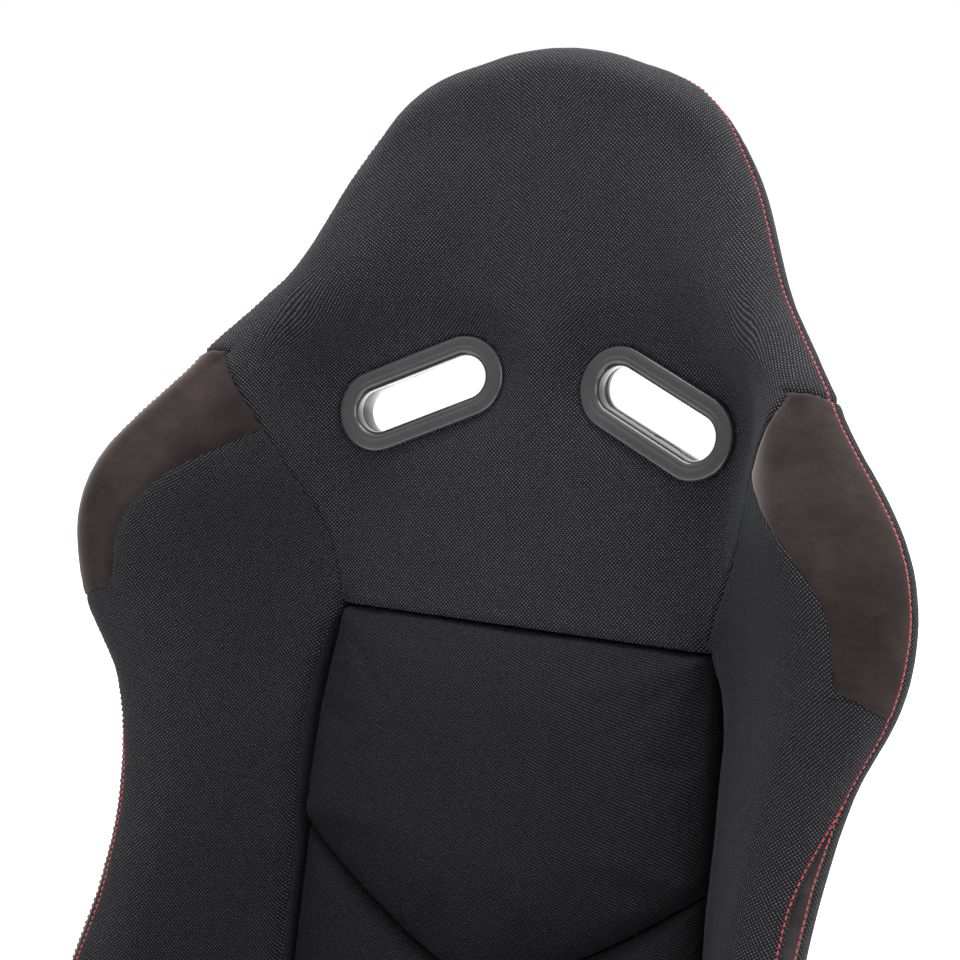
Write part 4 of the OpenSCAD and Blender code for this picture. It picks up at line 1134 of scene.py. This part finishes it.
def thigh_section(y):
    """Cross-section of the right thigh bolster at y: x-z points round it, and the length up to each."""
    z = float(thigh_z(y))
    seat = min(z - 6, float(seat_z(y)) - 10)
    h, pull = z - seat, 14 * float(ease((-230 - y) / 66))
    base = SEAT_BASE + (14 if y < TUBE_Y else 0)
    low = min(max(z - 50, base + 16), base + 0.6 * max(z - 24 - base, 2))
    corners = [(152.5, base), (152.5, (base + seat) / 2), (153, seat)]
    corners += [(172, seat + 0.42 * h), (190, seat + 0.82 * h)]
    crest = [math.radians(a) for a in (115, 90, 60, 25, 0)]
    corners += [(222 - pull + 21.5 * math.cos(a), z - 22 + 22 * math.sin(a)) for a in crest]
    corners += [(243 - pull, low), (239 - pull, min(122, (low + base) / 2)), (236.5 - pull, base)]
    corners = np.maximum(corners, [0, base])
    # smooth curve through the points, open at the flat base
    run = run_along(corners)
    t = np.linspace(0, run[-1], THIGH_POINTS)
    q = follow(t, run, corners)
    longer = np.vstack([2 * q[0] - q[4:0:-1], q, 2 * q[-1] - q[-2:-6:-1]])
    smooth = np.stack([np.convolve(column, bell(4, 1.7), mode="valid") for column in longer.T], -1)
    smooth[0], smooth[-1] = q[0], q[-1]
    return smooth, t


def thigh(side, word):
    """A thigh bolster, with the line and the normals for its topstitching."""
    ys = np.concatenate([[-295.5, -294.5, -292.5, -289], np.arange(-284, 8, 7.0), [10, 13, 15, 16]])
    rings, runs = [], []
    middle = np.array([200.0, 140.0])
    for y in ys:
        q, t = thigh_section(float(y))
        # both ends draw in a little
        end = min(1.0, (y + 296) / 12.0, (16.5 - y) / 8.0)
        shrink = math.sqrt(max(0.0, 1 - (1 - end) ** 2))
        q = middle + (q - middle) * (0.90 + 0.10 * shrink)
        rings.append(np.column_stack([q[:, 0], np.full(len(q), y), np.maximum(q[:, 1], SEAT_BASE)]))
        runs.append(t)
    rings, runs = np.array(rings), np.array(runs)
    n, m = rings.shape[:2]
    normal = unit(np.cross(np.gradient(rings, axis=1), np.gradient(rings, axis=0)))
    if normal[n // 2, m // 2, 2] < 0:
        normal = -normal
    tuck = np.clip(1 - np.abs(np.arange(m) - THIGH_SEAM) * 4.2 / 6.0, 0, 1) ** 2 * 1.6
    calm = ease((ys + 296) / 30)[:, None]
    rings = rings + normal * (calm * (waves(rings) * 0.9 - tuck))[..., None]
    flip = np.array([side, 1, 1.0])
    # the two end caps take the cloth flat, inside a thin edge
    front, rear = (ring.mean(0) + (ring - ring.mean(0)) * 0.985 + [0, out, 0]
                   for ring, out in ((rings[0], -0.2), (rings[-1], 0.2)))
    points = (np.concatenate([[front], rings, [rear]]) * flip).reshape(-1, 3)
    cloth = np.stack([runs, ys[:, None] + 0 * runs], -1).reshape(-1, 2)
    cloth = np.concatenate([front[:, [0, 2]], cloth, rear[:, [0, 2]]])
    n += 2
    faces = [[int(i) for i in f] for f in grid_faces(n, m)]
    faces += [[a, a + m - 1, a + 2 * m - 1, a + m] for a in range(0, (n - 1) * m, m)]
    faces += [list(range(m))[::-1], [(n - 1) * m + j for j in range(m)]]
    if side > 0:
        faces = [f[::-1] for f in faces]
    ob = new_object(f"thigh_bolster_pad_{word}", points, cloth, faces, SIDE_CLOTH, "seat_base")
    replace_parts(ob, f"thigh_bolster_{word}")
    line, up = rings[6:-5, THIGH_SEAM - 1] * flip, normal[6:-5, THIGH_SEAM - 1] * flip
    return ob, (from_world(line + up * 0.1), from_world(up + np.array([0, PIVOT_Y, PIVOT_Z])))


pads = [cushion, lumbar, seat_pad()]
thigh_lines = []
for side, word in ((1, "right"), (-1, "left")):
    ob, line = thigh(side, word)
    pads.append(ob)
    thigh_lines.append(line)
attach(stitches("thigh_topstitch", thigh_lines, RED), "seat_base")


# ---------------------------------------------------------------- stuffing the pads
def inflate(jobs, frames=20):
    """Blows the pads up against their own cloth, with their backs and borders held, and keeps the result."""
    for ob, held, pressure, most_mm in jobs:
        group = ob.vertex_groups.new(name="held")
        group.add([int(i) for i in held], 1.0, "REPLACE")
        mod = ob.modifiers.new("stuffing", "CLOTH")
        cloth = mod.settings
        cloth.quality = 6
        cloth.mass = 0.15
        cloth.vertex_group_mass = "held"
        cloth.effector_weights.gravity = 0
        cloth.use_pressure = True
        cloth.uniform_pressure_force = pressure
        cloth.tension_stiffness = cloth.compression_stiffness = 18
        cloth.shear_stiffness = 8
        cloth.bending_stiffness = 0.8
        mod.point_cache.frame_start, mod.point_cache.frame_end = 1, frames
    for f in range(1, frames + 1):
        scene.frame_set(f)
    graph = bpy.context.evaluated_depsgraph_get()
    found = []
    for ob, held, pressure, most_mm in jobs:
        blown = ob.evaluated_get(graph)
        found.append(np.array([v.co for v in blown.to_mesh().vertices]))
        blown.to_mesh_clear()
    for (ob, held, pressure, most_mm), after in zip(jobs, found):
        ob.modifiers.clear()
        ob.vertex_groups.clear()
        before = np.array([v.co for v in ob.data.vertices])
        move = after - before
        size = np.linalg.norm(move, axis=1, keepdims=True)
        print("inflated", ob.name, "largest move mm", round(float(size.max()) * 1000, 2))
        move *= np.minimum(1, most_mm * MM / np.maximum(size, 1e-9))
        ob.data.vertices.foreach_set("co", (before + move).astype(np.float32).ravel())
        ob.data.update()
    scene.frame_set(1)


inflate(CLOTHS)
for ob in pads:
    smooth = ob.modifiers.new("smooth", "SUBSURF")
    smooth.levels = smooth.render_levels = 1


# ---------------------------------------------------------------- hardware: CAD nodes with eased edges
def pairs(*names):
    return [f"{name}_{word}" for name in names for word in ("right", "left")]


FINISH = {
    POWDER: pairs("pan_side", "base_bracket", "back_bracket", "lower_rail")
    + ["front_cross_tube", "rear_cross_tube", "back_frame", "rail_feet", "release_bar", "recline_lever"],
    ZINC: pairs("upper_rail", "recliner_housing", "recliner_gear", "slide_latch")
    + ["base_bolts", "rail_bolts", "back_bolts", "release_bar_pivots", "release_rod", "recliner_cams"],
    SPRING: ["seat_springs", "back_springs", "return_spring"],
    SHIELD: pairs("side_shield") + ["release_bar_grip", "lever_grip"],
    GLIDE: ["rail_glides"],
}
for material, names in FINISH.items():
    for name in names:
        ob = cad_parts[name]
        ob.data.materials.clear()
        ob.data.materials.append(material)
        ob.data.polygons.foreach_set("use_smooth", [True] * len(ob.data.polygons))
        weld = ob.modifiers.new("weld", "WELD")
        weld.merge_threshold = 0.02 * MM
        if material is SPRING:
            ob.modifiers.new("round", "SUBSURF").levels = 1
            continue
        bevel = ob.modifiers.new("ease", "BEVEL")
        bevel.width = (1.2 if material is SHIELD else 0.5) * MM
        bevel.segments = 2
        bevel.limit_method = "ANGLE"
        bevel.angle_limit = math.radians(38)
        bevel.harden_normals = True
        bevel.use_clamp_overlap = True

# ---------------------------------------------------------------- studio
WHITE = (1, 1, 1, 1)
paper = Mat("studio_floor", Roughness=0.9, Specular_IOR_Level=0.1, Base_Color=(0.93, 0.93, 0.93, 1),
            Emission_Color=WHITE, Emission_Strength=0.35)
bpy.ops.mesh.primitive_plane_add(size=40, location=(0, 0, -0.5 * MM))
floor = bpy.context.object
floor.name = "floor"
floor.data.materials.append(paper.material)

# A bright wall behind and above, and a dimmer room in front
scene.world = bpy.data.worlds.new("studio")
scene.world.use_nodes = True
room = Nodes(scene.world.node_tree)
direction = room.node("SeparateXYZ", [room.node("TexCoord").outputs["Generated"]]).outputs
ramps = []
for axis, start, stop in (("Y", -0.30, 0.25), ("Z", 0.30, 0.95)):
    inputs = {"Value": direction[axis], "From Min": start, "From Max": stop, "To Min": 0.5, "To Max": 1.0}
    ramps.append(room.node("MapRange", inputs, interpolation_type="SMOOTHSTEP").outputs["Result"])
wall = room.tree.nodes["Background"]
room.feed(wall.inputs[0], WHITE)
room.feed(wall.inputs[1], room.math("MAXIMUM", *ramps))


def area(name, place, aim, size, power):
    """A rectangular lamp at a place, turned to its aim."""
    lamp = bpy.data.lights.new(name, "AREA")
    lamp.shape, lamp.size, lamp.size_y, lamp.energy = "RECTANGLE", size[0], size[1], power
    ob = bpy.data.objects.new(name, lamp)
    scene.collection.objects.link(ob)
    ob.location = place
    ob.rotation_euler = (Vector(aim) - Vector(place)).to_track_quat("-Z", "Y").to_euler()


area("key_light", (-1.6, -1.6, 2.6), (0, 0.2, 0.6), (1.6, 1.6), 2)
area("fill_light", (2.4, -1.2, 1.6), (0, 0.2, 0.6), (1.4, 1.8), 26)
area("top_light", (0, 0.6, 3.0), (0, 0.3, 0.5), (2.6, 2.0), 120)
